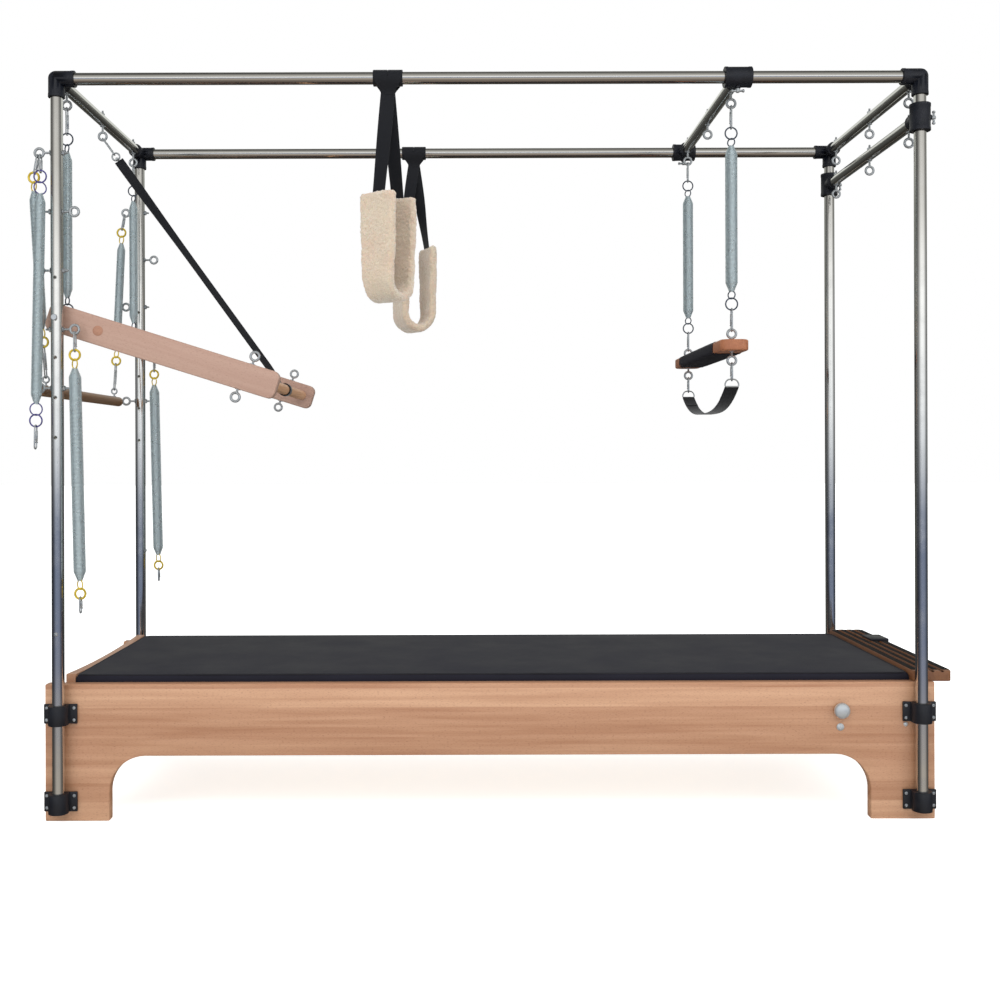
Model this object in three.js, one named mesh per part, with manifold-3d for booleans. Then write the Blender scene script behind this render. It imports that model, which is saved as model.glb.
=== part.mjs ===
// A pilates trapeze table: a beech bed with four posts, a canopy of round tubes,
// sliding cross bars, a push-through bar, hanging springs, a trapeze board and slings.
// Millimetres, +Z up, +X towards the drop bar, -Y towards the viewer's side.
import * as THREE from "three";
import { mergeVertices } from "three/addons/utils/BufferGeometryUtils.js";
import Module from "manifold-3d";

const wasm = await Module();
wasm.setup();

// Clearances shared by all pieces
const seatGap = 0.3;
const slideClearance = 0.5;
const cutOverrun = 2;
const sameVertex = 0.001;

// Bed frame
const bedLength = 2360;
const bedWidth = 700;
const railThickness = 30;
const railTop = 363;
const archHeight = 172;
const legWidth = 170;
const archCornerRadius = 96;
const railTopRounding = 6;
const endBoardThickness = 25;
const leftBoardInset = 45;
const leftBoardTop = 385;
const leftBoardDish = 8;
const rightBoardInset = 30;
const deckTop = 345;
const deckThickness = 18;

// Mattress
const mattressTop = 380;
const mattressCrown = 4;
const mattressEdgeInset = 5;
const mattressEndGap = 1;
const mattressLengthSteps = 14;
const mattressWidthSteps = 4;
const mattressHeightSteps = 4;

// Foot platform and its clip
const platformThickness = 28;
const platformOverhang = 48;
const platformHalfWidth = 345;
const platformDepth = 103;
const platformCorner = 12;
const platformCornerSteps = 3;
const platformGroove = 5;
const platformGrooveCount = 3;
const clipStart = 120;
const clipLength = 80;
const clipReach = 48;
const clipWall = 7;

// Round tubes and the canopy
const tubeRadius = 16;
const tubeSides = 16;
const postInset = 43;
const postStandOff = 4;
const postFoot = 31;
const canopyHeight = 1961;
const socketRadius = 21;
const socketReach = 49;
const socketStop = 20;

// Post brackets: a flanged saddle, the lower ones with a floor
const bracketHeight = 52;
const bracketHalfWidth = 44;
const bracketFlange = 6;
const saddleRadius = 26;
const bracketFloor = 3;
const upperBracketCentre = 286;
const lowerBracketCentre = postFoot - seatGap - bracketFloor + bracketHeight / 2;

// Holes for the push-through bar's pins in the left posts
const pinHoleRadius = 4.8;
const pinHolesBelow = 524;
const pinHolePitch = 105;
const pinHoleCount = 5;
const pivotHole = 1;
const pinHoleSides = 6;

// Eyebolts
const eyeDrop = 46;
const eyeMean = 11.5;
const eyeWire = 3.5;
const eyeSteps = 8;
const shankRadius = 3;
const shankSides = 5;
const nutRadius = 7;
const nutHeight = 6;
const threadEnd = 8;
const canopyEyeOffsets = [-295, 0, 300];
const postEyePitch = 155;
const postEyesBelow = 194;
const postEyeCount = 5;

// Sliding T-sleeves and their thumb screws
const sleeveRadius = 27;
const sleeveLength = 71;
const slideBarPlace = 657;
const dropBarBelow = 108;
const screwRadius = 4;
const screwReach = 36;
const screwHandleRadius = 3.5;
const screwHandleLength = 36;

// Push-through bar
const armTiltDegrees = 17.5;
const armLength = 602;
const armTail = 36;
const armDepth = 75;
const armThickness = 30;
const armCornerRadius = 30;
const armCornerSteps = 4;
const armGapToPost = 4;
const crossbarRadius = 15;
const crossbarFromEnd = 37;
const pinRadius = 4.5;
const pinHeadRadius = 8;
const pinHeadLength = 9;
const armEyeFromEnd = 82;
const armEyeStagger = 18;
const armEyeRise = 22;

// Hooks, rings and springs
const hookWire = 2;
const hookHalfWidth = 7;
const wireSides = 4;
const wireFlatShare = Math.cos(Math.PI / wireSides);
const fuse = 1;
const hookFuse = 0.6;
const ringMean = 16;
const ringWire = 2;
const thickRingMean = 13.5;
const thickRingWire = 3;
const ringSteps = 8;
const springSides = 8;
const springTaper = 24;
const neckOverlap = 3;
const trapezeHook = 60;
const trapezeNeck = 19;
const trapezeSpringLength = 395;
const trapezeSpringRadius = 16.5;
const trapezeCurls = 26;
const curlSteps = 8;
const curlSides = 4;
const curlFillShare = 0.82;
const curlTaperTurns = 3;
const pushHook = 71;
const pushTailHook = 42;
const pushNeck = 19;
const pushSpringLength = 395;
const pushSpringRadius = 13.5;
const legHook = 50;
const legTailHook = 40;
const legNeck = 24;
const legSpringLength = 560;
const legSpringRadius = 16;
const legSpringLean = 12;
const armHook = 49;
const armTailHook = 60;
const armNeck = 30;
const armSpringLength = 551;
const armSpringRadius = 14;
const armSpringLean = -12;
const armRingShiftX = 6;
const armRingShiftY = -19;
const rollHook = 49;
const rollTailHook = 80;
const rollNeck = 24;
const rollSpringLength = 363;
const rollSpringRadius = 13;
const rollRingShift = -11;
const rollSpread = 80;
const sharedEyeStep = 3.4;
const leanPlay = 0.1;
const armLeanPlay = 1.3;

// Roll-down bar
const rollBarRadius = 15;
const rollBarHalfLength = 335;
const smallEyeRise = 17;
const smallEyeMean = 8.5;
const smallEyeWire = 2.5;

// Safety strap
const strapWidth = 28;
const strapThickness = 4;
const strapHook = 58;
const shackleMean = 11;
const shackleWire = 2.5;

// Trapeze board, its cover and the foot strap
const boardWidth = 78;
const boardThickness = 30;
const boardHalfLength = 340;
const boardCorner = 24;
const boardCornerSteps = 3;
const boardBevel = 4;
const boardEyeRise = 18;
const boardEyeFall = 24;
const coverThickness = 2;
const coverHalfLength = 240;
const footHook = 46;
const footStrapWidth = 38;
const footStrapThickness = 4;
const footStrapSag = 62;
const footStrapSteps = 12;
const footRingWidth = 41;
const footRingHeight = 20;

// Slings
const slingPlaces = { near: -264, far: -232 };
const slingTurns = { near: THREE.MathUtils.degToRad(60), far: THREE.MathUtils.degToRad(25) };
const wrapLength = 78;
const wrapThickness = 6;
const wrapNeckWidth = 36;
const wrapNeckDrop = 42;
const wrapNeckThickness = 14;
const webbingWidth = 42;
const webbingThickness = 4;
const cuffTopDrop = 308;
const cuffBottomDrop = 590;
const cuffHalfSpread = 48;
const cuffThickness = 24;
const cuffWidth = 110;
const cuffBendSteps = 8;
const webbingIntoCuff = 24;

// Lock knob on the near rail
const knobFromEnd = 249;
const knobHeight = 289;
const knobRadius = 20.5;
const knobDepth = 15;
const knobStandOff = 4;
const knobStemRadius = 6;
const knobStemInside = 28;
const knobSides = 16;

// Places worked out from the sizes above
const halfLength = bedLength / 2;
const railFace = bedWidth / 2;
const railInner = railFace - railThickness;
const postX = halfLength - postInset;
const postY = railFace + postStandOff + tubeRadius;
const knobPlace = halfLength - knobFromEnd;
const dropBarHeight = canopyHeight - dropBarBelow;
const topEyeHeight = canopyHeight - postEyesBelow;
const legEyeHeight = topEyeHeight - (postEyeCount - 2) * postEyePitch;
const pinHoleTop = canopyHeight - pinHolesBelow;
const pivotHeight = pinHoleTop - pivotHole * pinHolePitch;
const armTilt = THREE.MathUtils.degToRad(armTiltDegrees);
const eyeCornerAngle = Math.PI / eyeSteps;
const seatBelow = (mean, wire) =>
  mean - (wire + hookWire + hookWire * Math.tan(eyeCornerAngle)) * wireFlatShare -
  seatGap / Math.cos(eyeCornerAngle);
const hookSeat = seatBelow(eyeMean, eyeWire);
const insideOf = ({ mean, wire }) => mean - (wire + hookWire) * wireFlatShare + hookFuse;
const thick = { mean: thickRingMean, wire: thickRingWire };
const thin = { mean: ringMean, wire: ringWire };
const sides = { near: -1, far: 1 };
const ends = { left: -1, right: 1 };
const trapezeEnd = trapezeHook + insideOf(thin) + ringMean - ringWire + trapezeNeck;
const trapezeChain = trapezeSpringLength + 2 * trapezeEnd;
const boardTop = canopyHeight - eyeDrop - 2 * hookSeat - trapezeChain - boardEyeRise;

const materials = {
  beech: new THREE.MeshStandardMaterial({ color: 0xc99673, roughness: 0.55 }),
  board: new THREE.MeshStandardMaterial({ color: 0xa8623a, roughness: 0.5 }),
  tube: new THREE.MeshStandardMaterial({ color: 0xb9b6b0, roughness: 0.18, metalness: 1 }),
  plastic: new THREE.MeshStandardMaterial({ color: 0x15181f, roughness: 0.5 }),
  vinyl: new THREE.MeshStandardMaterial({ color: 0x38373d, roughness: 0.6 }),
  zinc: new THREE.MeshStandardMaterial({ color: 0x9fb0b4, roughness: 0.35, metalness: 0.9 }),
  webbing: new THREE.MeshStandardMaterial({ color: 0x1c1b22, roughness: 0.9 }),
  fleece: new THREE.MeshStandardMaterial({ color: 0xe3d0b4, roughness: 1 }),
};

const xAxis = new THREE.Vector3(1, 0, 0);
const yAxis = new THREE.Vector3(0, 1, 0);
const zAxis = new THREE.Vector3(0, 0, 1);
const vec = (x, y, z) => new THREE.Vector3(x, y, z);
const along = (from, direction, distance) => from.clone().addScaledVector(direction, distance);

// Solids from geometries, and meshes from solids
function toSolid(geometry) {
  const loose = geometry.index ? geometry.toNonIndexed() : geometry.clone();
  loose.deleteAttribute("normal");
  loose.deleteAttribute("uv");
  const merged = mergeVertices(loose, sameVertex);
  return new wasm.Manifold(
    new wasm.Mesh({
      numProp: 3,
      vertProperties: merged.attributes.position.array,
      triVerts: new Uint32Array(merged.index.array),
    }),
  );
}

function toGeometry(solid) {
  const mesh = solid.getMesh();
  const geometry = new THREE.BufferGeometry();
  geometry.setAttribute("position", new THREE.BufferAttribute(mesh.vertProperties, mesh.numProp));
  geometry.setIndex(new THREE.BufferAttribute(mesh.triVerts, 1));
  geometry.computeVertexNormals();
  return geometry;
}

const joined = (...solids) => solids.reduce((whole, solid) => whole.add(solid));
const without = (solid, ...cutters) => cutters.reduce((rest, cutter) => rest.subtract(cutter), solid);

const group = new THREE.Group();
function place(name, solid, material, parent = group) {
  const mesh = new THREE.Mesh(toGeometry(solid), material);
  mesh.name = name;
  parent.add(mesh);
  return mesh;
}

function rod(from, to, radius, count = tubeSides) {
  const axis = to.clone().sub(from);
  const geometry = new THREE.CylinderGeometry(radius, radius, axis.length(), count);
  geometry.applyQuaternion(new THREE.Quaternion().setFromUnitVectors(yAxis, axis.normalize()));
  geometry.translate(...from.clone().add(to).multiplyScalar(0.5).toArray());
  return toSolid(geometry);
}

function block(low, high) {
  const size = high.clone().sub(low);
  const geometry = new THREE.BoxGeometry(size.x, size.y, size.z);
  geometry.translate(...low.clone().add(high).multiplyScalar(0.5).toArray());
  return toSolid(geometry);
}

// Extrudes an outline drawn in X and Z along Y, between two places
function slabAlongY(shape, fromY, toY, curveSegments = tubeSides) {
  const options = { depth: toY - fromY, bevelEnabled: false, curveSegments };
  const geometry = new THREE.ExtrudeGeometry(shape, options);
  geometry.rotateX(Math.PI / 2);
  geometry.translate(0, toY, 0);
  return toSolid(geometry);
}

// Extrudes an outline drawn in X and Y upwards, between two heights
function slabAlongZ(shape, fromZ, toZ, curveSegments = tubeSides) {
  const options = { depth: toZ - fromZ, bevelEnabled: false, curveSegments };
  const geometry = new THREE.ExtrudeGeometry(shape, options);
  geometry.translate(0, 0, fromZ);
  return toSolid(geometry);
}

// A hole's radius that clears a shaft turning in it, where both are faceted
const turningHole = (shaftRadius) => (shaftRadius + seatGap) / Math.cos(Math.PI / pinHoleSides);

// A wire through points, whose section is turned to lie along each point's side vector
function wireThrough(points, sideVectors, radius, count, closed) {
  const vertices = [];
  const faces = [];
  const last = points.length - 1;
  points.forEach((point, i) => {
    const before = closed ? points[(i + last) % points.length] : points[Math.max(i - 1, 0)];
    const after = closed ? points[(i + 1) % points.length] : points[Math.min(i + 1, last)];
    const tangent = after.clone().sub(before).normalize();
    const u = sideVectors[i].clone().addScaledVector(tangent, -sideVectors[i].dot(tangent)).normalize();
    const v = tangent.clone().cross(u);
    for (let j = 0; j < count; j++) {
      const angle = (2 * Math.PI * (j + 0.5)) / count;
      const corner = along(along(point, u, radius * Math.cos(angle)), v, radius * Math.sin(angle));
      vertices.push(...corner.toArray());
    }
  });
  const spans = closed ? points.length : last;
  for (let i = 0; i < spans; i++) {
    const here = i * count;
    const next = ((i + 1) % points.length) * count;
    for (let j = 0; j < count; j++) {
      const k = (j + 1) % count;
      faces.push(here + j, here + k, next + k, here + j, next + k, next + j);
    }
  }
  for (let j = 1; !closed && j < count - 1; j++) {
    faces.push(0, j + 1, j);
    faces.push(last * count, last * count + j, last * count + j + 1);
  }
  const geometry = new THREE.BufferGeometry();
  geometry.setAttribute("position", new THREE.Float32BufferAttribute(vertices, 3));
  geometry.setIndex(faces);
  return toSolid(geometry);
}

// A round ring whose hole looks along an axis
function ring(centre, holeAxis, mean, wire, steps = ringSteps) {
  const turn = new THREE.Quaternion().setFromUnitVectors(yAxis, holeAxis);
  const points = [];
  for (let i = 0; i < steps; i++) {
    const angle = (2 * Math.PI * i) / steps;
    points.push(vec(mean * Math.cos(angle), 0, mean * Math.sin(angle)).applyQuaternion(turn).add(centre));
  }
  return wireThrough(points, points.map(() => holeAxis), wire, wireSides, true);
}

// A long link from one wire centre to another, as wide as its side vector says
function link(from, to, side, halfWidth, wire) {
  const axis = to.clone().sub(from).normalize();
  const normal = axis.clone().cross(side).normalize();
  const across = normal.clone().cross(axis);
  const points = [];
  const bendShares = [[0, 0.6], [1, 1]];
  const corner = ([downShare, outShare], end, inward, sign) =>
    along(along(end, inward, downShare * halfWidth), across, sign * outShare * halfWidth);
  const back = axis.clone().negate();
  bendShares.forEach((share) => points.push(corner(share, from, axis, 1)));
  bendShares.toReversed().forEach((share) => points.push(corner(share, to, back, 1)));
  bendShares.forEach((share) => points.push(corner(share, to, back, -1)));
  bendShares.toReversed().forEach((share) => points.push(corner(share, from, axis, -1)));
  return wireThrough(points, points.map(() => normal), wire, wireSides, true);
}

// An eyebolt through a tube: eye on one side, nut and thread end on the other
function eyebolt(centre, direction, throughRadius, eyeAt) {
  const back = direction.clone().negate();
  const nutSeat = along(centre, back, throughRadius - fuse);
  const shankEnd = along(centre, back, throughRadius + nutHeight + threadEnd);
  return joined(
    rod(shankEnd, along(centre, direction, eyeAt - eyeMean), shankRadius, shankSides),
    rod(nutSeat, along(centre, back, throughRadius + nutHeight), nutRadius, shankSides),
    ring(along(centre, direction, eyeAt), yAxis, eyeMean, eyeWire, eyeSteps),
  );
}

// Side rails: one outline with an arch between two legs
function railShape() {
  const shape = new THREE.Shape();
  const archEnd = halfLength - legWidth;
  const r = archCornerRadius;
  shape.moveTo(-halfLength, 0);
  shape.lineTo(-archEnd, 0);
  shape.lineTo(-archEnd, archHeight - r);
  shape.absarc(-archEnd + r, archHeight - r, r, Math.PI, Math.PI / 2, true);
  shape.lineTo(archEnd - r, archHeight);
  shape.absarc(archEnd - r, archHeight - r, r, Math.PI / 2, 0, true);
  shape.lineTo(archEnd, 0);
  shape.lineTo(halfLength, 0);
  shape.lineTo(halfLength, railTop - railTopRounding);
  shape.lineTo(halfLength - railTopRounding, railTop);
  shape.lineTo(-halfLength + railTopRounding, railTop);
  shape.lineTo(-halfLength, railTop - railTopRounding);
  shape.closePath();
  return shape;
}

const archSegments = 6;
for (const [side, sign] of Object.entries(sides)) {
  const shape = railShape();
  if (side === "near") {
    const hole = new THREE.Path();
    hole.absarc(knobPlace, knobHeight, knobStemRadius + slideClearance, 0, 2 * Math.PI);
    shape.holes.push(hole);
  }
  const from = Math.min(sign * railFace, sign * railInner);
  place("side_rail_" + side, slabAlongY(shape, from, from + railThickness, archSegments), materials.beech);
}

// End boards between the rails, the left one with a dished top
function endBoardShape(top, dish) {
  const shape = new THREE.Shape();
  const reach = railInner - seatGap;
  shape.moveTo(-reach, archHeight);
  shape.lineTo(reach, archHeight);
  shape.lineTo(reach, top);
  if (dish > 0) shape.quadraticCurveTo(0, top - 2 * dish, -reach, top);
  shape.lineTo(-reach, top);
  shape.closePath();
  return shape;
}

function endBoard(name, middle, top, dish) {
  const half = endBoardThickness / 2;
  const solid = slabAlongY(endBoardShape(top, dish), -half, half, archSegments);
  const mesh = place(name, solid, materials.beech);
  mesh.rotation.z = Math.PI / 2;
  mesh.position.x = middle;
}

const leftBoardMiddle = -halfLength + leftBoardInset + endBoardThickness / 2;
const rightBoardMiddle = halfLength - rightBoardInset - endBoardThickness / 2;
const deckLeft = leftBoardMiddle + endBoardThickness / 2 + seatGap;
const deckRight = rightBoardMiddle - endBoardThickness / 2 - seatGap;
endBoard("end_board_left", leftBoardMiddle, leftBoardTop, leftBoardDish);
endBoard("end_board_right", rightBoardMiddle, railTop, 0);
const deckLow = vec(deckLeft, -railInner + seatGap, deckTop - deckThickness);
place("deck_panel", block(deckLow, vec(deckRight, railInner - seatGap, deckTop)), materials.beech);

// Mattress: a box whose top is crowned and whose sides draw in towards both edges
function cushion(low, high) {
  const size = high.clone().sub(low);
  const half = size.clone().multiplyScalar(0.5);
  const geometry = new THREE.BoxGeometry(
    size.x, size.y, size.z, mattressLengthSteps, mattressWidthSteps, mattressHeightSteps,
  );
  const position = geometry.attributes.position;
  for (let i = 0; i < position.count; i++) {
    const shareX = position.getX(i) / half.x;
    const shareY = position.getY(i) / half.y;
    const shareZ = position.getZ(i) / half.z;
    const inset = mattressEdgeInset * shareZ ** 4;
    const crown = shareZ > 0 ? mattressCrown * shareZ * (1 - shareX ** 4) * (1 - shareY ** 4) : 0;
    position.setXYZ(
      i, shareX * (half.x - inset), shareY * (half.y - inset), position.getZ(i) + crown,
    );
  }
  geometry.translate(...low.clone().add(high).multiplyScalar(0.5).toArray());
  return toSolid(geometry);
}

const platformInner = halfLength + platformOverhang - platformDepth;
const mattressLow = vec(deckLeft - seatGap + mattressEndGap, -railInner + mattressEndGap, deckTop + seatGap);
const mattressHigh = vec(platformInner - mattressEndGap, railInner - mattressEndGap, mattressTop);
place("mattress", cushion(mattressLow, mattressHigh), materials.vinyl);

// Foot platform: a grooved board across the rails, past their right end
function platformShape() {
  const shape = new THREE.Shape();
  const outer = halfLength + platformOverhang;
  shape.moveTo(platformInner, -platformHalfWidth);
  shape.lineTo(outer - platformCorner, -platformHalfWidth);
  shape.absarc(outer - platformCorner, -platformHalfWidth + platformCorner, platformCorner, -Math.PI / 2, 0);
  shape.absarc(outer - platformCorner, platformHalfWidth - platformCorner, platformCorner, 0, Math.PI / 2);
  shape.lineTo(platformInner, platformHalfWidth);
  shape.closePath();
  return shape;
}

const platformBottom = railTop + seatGap;
const platformTop = platformBottom + platformThickness;
const grooves = [];
const groovePitch = platformDepth / (platformGrooveCount + 1);
for (let i = 1; i <= platformGrooveCount; i++) {
  const middle = platformInner + i * groovePitch;
  const groovedTo = platformHalfWidth + cutOverrun;
  const low = vec(middle - platformGroove, -groovedTo, platformTop - platformGroove);
  grooves.push(block(low, vec(middle + platformGroove, groovedTo, platformTop + cutOverrun)));
}
const platform = without(slabAlongZ(platformShape(), platformBottom, platformTop, platformCornerSteps), ...grooves);
place("foot_platform", platform, materials.beech);

// Clip: a C-shaped block hooked over the platform's outer edge
const platformOuter = halfLength + platformOverhang;
const clipLow = vec(platformOuter - clipReach, clipStart, platformBottom - seatGap - clipWall);
const clipHigh = vec(platformOuter + clipWall, clipStart + clipLength, platformTop + seatGap + clipWall);
const clipMouthLow = vec(halfLength + seatGap, clipStart - cutOverrun, platformBottom - seatGap);
const clipCutEnd = clipStart + clipLength + cutOverrun;
const clipMouthHigh = vec(platformOuter + seatGap, clipCutEnd, platformTop + seatGap);
const clipRoom = block(
  vec(halfLength - clipReach, clipStart - cutOverrun, clipLow.z - cutOverrun),
  vec(halfLength + seatGap, clipCutEnd, platformTop + seatGap),
);
const clip = without(block(clipLow, clipHigh), block(clipMouthLow, clipMouthHigh), clipRoom);
place("platform_clip", clip, materials.plastic);

// Posts, the left ones with pin holes and eyebolts that alternate outwards and inwards
function postSolid(endSign, sideSign) {
  const x = endSign * postX;
  const y = sideSign * postY;
  let solid = rod(vec(x, y, postFoot), vec(x, y, canopyHeight - socketStop - seatGap), tubeRadius);
  if (endSign > 0) return solid;
  for (let i = 0; i < postEyeCount; i++) {
    const outward = i % 2 === 0 ? xAxis.clone().negate() : xAxis.clone();
    solid = solid.add(eyebolt(vec(x, y, topEyeHeight - i * postEyePitch), outward, tubeRadius, eyeDrop));
  }
  for (let i = 0; i < pinHoleCount; i++) {
    const z = pinHoleTop - i * pinHolePitch;
    const reach = tubeRadius + cutOverrun;
    solid = solid.subtract(rod(vec(x, y - reach, z), vec(x, y + reach, z), pinHoleRadius, pinHoleSides));
  }
  return solid;
}

// Brackets: flanges against the rail and a saddle round the post
const bracketStand = postStandOff + tubeRadius - seatGap;
function bracketShape() {
  const shape = new THREE.Shape();
  const meet = Math.asin((bracketFlange - bracketStand) / saddleRadius);
  shape.moveTo(-bracketHalfWidth, 0);
  shape.lineTo(bracketHalfWidth, 0);
  shape.lineTo(bracketHalfWidth, bracketFlange);
  shape.absarc(0, bracketStand, saddleRadius, meet, Math.PI - meet);
  shape.lineTo(-bracketHalfWidth, bracketFlange);
  shape.closePath();
  return shape;
}

const saddleSegments = 6;
function bracketSolid(floored) {
  const low = -bracketHeight / 2;
  const boreFrom = floored ? low + bracketFloor : low - cutOverrun;
  const bore = rod(
    vec(0, bracketStand, boreFrom), vec(0, bracketStand, -low + cutOverrun), tubeRadius + seatGap,
  );
  return without(slabAlongZ(bracketShape(), low, -low, saddleSegments), bore);
}

// Canopy fittings: three sockets that meet in a rounded corner
function cornerSolid() {
  const directions = [xAxis, yAxis, zAxis.clone().negate()];
  const origin = vec(0, 0, 0);
  const body = joined(
    toSolid(new THREE.SphereGeometry(socketRadius, tubeSides, tubeSides / 2)),
    ...directions.map((direction) => rod(origin, along(origin, direction, socketReach), socketRadius)),
  );
  const bores = directions.map((direction) =>
    rod(
      along(origin, direction, socketStop),
      along(origin, direction, socketReach + cutOverrun),
      tubeRadius + seatGap,
    ),
  );
  return without(body, ...bores);
}

for (const [end, endSign] of Object.entries(ends)) {
  for (const [side, sideSign] of Object.entries(sides)) {
    const label = end + "_" + side;
    place("post_" + label, postSolid(endSign, sideSign), materials.tube);
    for (const [level, height] of [["upper", upperBracketCentre], ["lower", lowerBracketCentre]]) {
      const solid = bracketSolid(level === "lower");
      const bracket = place("bracket_" + level + "_" + label, solid, materials.plastic);
      bracket.position.set(endSign * postX, sideSign * (railFace + seatGap), height);
      bracket.scale.y = sideSign;
    }
    const corner = place("corner_" + label, cornerSolid(), materials.plastic);
    corner.position.set(endSign * postX, sideSign * postY, canopyHeight);
    corner.scale.set(-endSign, -sideSign, 1);
  }
}

// Long tubes along the bed and cross tubes with hanging eyebolts
const longReach = postX - socketStop - seatGap;
for (const [side, sign] of Object.entries(sides)) {
  const y = sign * postY;
  const tube = rod(vec(-longReach, y, canopyHeight), vec(longReach, y, canopyHeight), tubeRadius);
  place("top_tube_" + side, tube, materials.tube);
}

const down = zAxis.clone().negate();
function crossTube(x, z) {
  const reach = postY - socketStop - seatGap;
  const bolts = canopyEyeOffsets.map((y) => eyebolt(vec(x, y, z), down, tubeRadius, eyeDrop));
  return joined(rod(vec(x, -reach, z), vec(x, reach, z), tubeRadius), ...bolts);
}
place("end_tube_left", crossTube(-postX, canopyHeight), materials.tube);
place("end_tube_right", crossTube(postX, canopyHeight), materials.tube);
place("slide_tube", crossTube(slideBarPlace, canopyHeight), materials.tube);
place("drop_tube", crossTube(postX, dropBarHeight), materials.tube);

// T-sleeves: a sleeve that runs on one tube, a socket for the cross tube and a screw hole
function sleeveSolid(runAxis, screwAxis) {
  const origin = vec(0, 0, 0);
  const half = sleeveLength / 2;
  const overrun = half + cutOverrun;
  const body = rod(along(origin, runAxis, -half), along(origin, runAxis, half), sleeveRadius);
  const socket = rod(origin, along(origin, yAxis, socketReach), socketRadius);
  return without(
    joined(body, socket),
    rod(along(origin, runAxis, -overrun), along(origin, runAxis, overrun), tubeRadius + slideClearance),
    rod(vec(0, socketStop, 0), vec(0, socketReach + cutOverrun, 0), tubeRadius + seatGap),
    rod(origin, along(origin, screwAxis, sleeveRadius + cutOverrun), turningHole(screwRadius), pinHoleSides),
  );
}

// Thumb screw: a stem that presses on the tube, and a cross handle
function screwSolid(screwAxis, handleAxis) {
  const origin = vec(0, 0, 0);
  const handleAt = along(origin, screwAxis, screwReach);
  const half = screwHandleLength / 2;
  return joined(
    rod(along(origin, screwAxis, tubeRadius + seatGap), handleAt, screwRadius, pinHoleSides),
    rod(along(handleAt, handleAxis, -half), along(handleAt, handleAxis, half), screwHandleRadius, shankSides),
  );
}

const crossBars = {
  slide: { x: slideBarPlace, z: canopyHeight, run: xAxis, screw: down, handle: xAxis },
  drop: { x: postX, z: dropBarHeight, run: zAxis, screw: xAxis, handle: zAxis },
};
for (const [bar, { x, z, run, screw, handle }] of Object.entries(crossBars)) {
  for (const [side, sign] of Object.entries(sides)) {
    const clamp = place(bar + "_clamp_" + side, sleeveSolid(run, screw), materials.plastic);
    const thumb = place(bar + "_screw_" + side, screwSolid(screw, handle), materials.zinc);
    for (const mesh of [clamp, thumb]) {
      mesh.position.set(x, sign * postY, z);
      mesh.scale.y = -sign;
    }
  }
}

// Push-through bar: two arms turned down from the pivot, a dowel and two pivot pins
function armShape() {
  const shape = new THREE.Shape();
  const half = armDepth / 2;
  const r = armCornerRadius;
  shape.moveTo(-armTail + r, -half);
  shape.lineTo(armLength - r, -half);
  shape.absarc(armLength - r, -half + r, r, -Math.PI / 2, 0);
  shape.absarc(armLength - r, half - r, r, 0, Math.PI / 2);
  shape.lineTo(-armTail + r, half);
  shape.absarc(-armTail + r, half - r, r, Math.PI / 2, Math.PI);
  shape.absarc(-armTail + r, -half + r, r, Math.PI, 1.5 * Math.PI);
  return shape;
}

function armSolid(middleY) {
  const half = armThickness / 2;
  const low = middleY - half - cutOverrun;
  const high = middleY + half + cutOverrun;
  const dowelAt = armLength - crossbarFromEnd;
  const plank = without(
    slabAlongY(armShape(), middleY - half, middleY + half, armCornerSteps),
    rod(vec(0, low, 0), vec(0, high, 0), turningHole(pinRadius), pinHoleSides),
    rod(vec(dowelAt, low, 0), vec(dowelAt, high, 0), crossbarRadius + seatGap),
  );
  const eyeAt = armDepth / 2 + armEyeRise;
  const depthBelow = armDepth / 2 - eyeMean - nutHeight - threadEnd;
  const eyeX = armLength - armEyeFromEnd;
  const stub = (x, direction) => {
    const centre = vec(x, middleY, 0);
    const at = (distance) => along(centre, direction, distance);
    return joined(
      rod(at(depthBelow), at(eyeAt - eyeMean), shankRadius, shankSides),
      ring(at(eyeAt), yAxis, eyeMean, eyeWire, eyeSteps),
    );
  };
  return joined(plank, stub(eyeX, zAxis), stub(eyeX - armEyeStagger, down));
}

const armMiddle = postY - tubeRadius - armGapToPost - armThickness / 2;
const pushBar = new THREE.Group();
pushBar.position.set(-postX, 0, pivotHeight);
pushBar.rotation.y = armTilt;
group.add(pushBar);
const crossbarAlong = armLength - crossbarFromEnd;
const crossbarReach = armMiddle + armThickness / 2;
for (const [side, sign] of Object.entries(sides)) {
  place("push_arm_" + side, armSolid(sign * armMiddle), materials.beech, pushBar);
  const head = postY + tubeRadius + seatGap;
  const tip = armMiddle - armThickness / 2;
  const pinAt = (y) => vec(-postX, sign * y, pivotHeight);
  const pin = joined(
    rod(pinAt(head + pinHeadLength / 2), pinAt(tip), pinRadius, pinHoleSides),
    rod(pinAt(head), pinAt(head + pinHeadLength), pinHeadRadius),
  );
  place("pivot_pin_" + side, pin, materials.zinc);
}
const dowelFrom = vec(crossbarAlong, -crossbarReach, 0);
const dowel = rod(dowelFrom, vec(crossbarAlong, crossbarReach, 0), crossbarRadius);
place("push_crossbar", dowel, materials.beech, pushBar);

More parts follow.
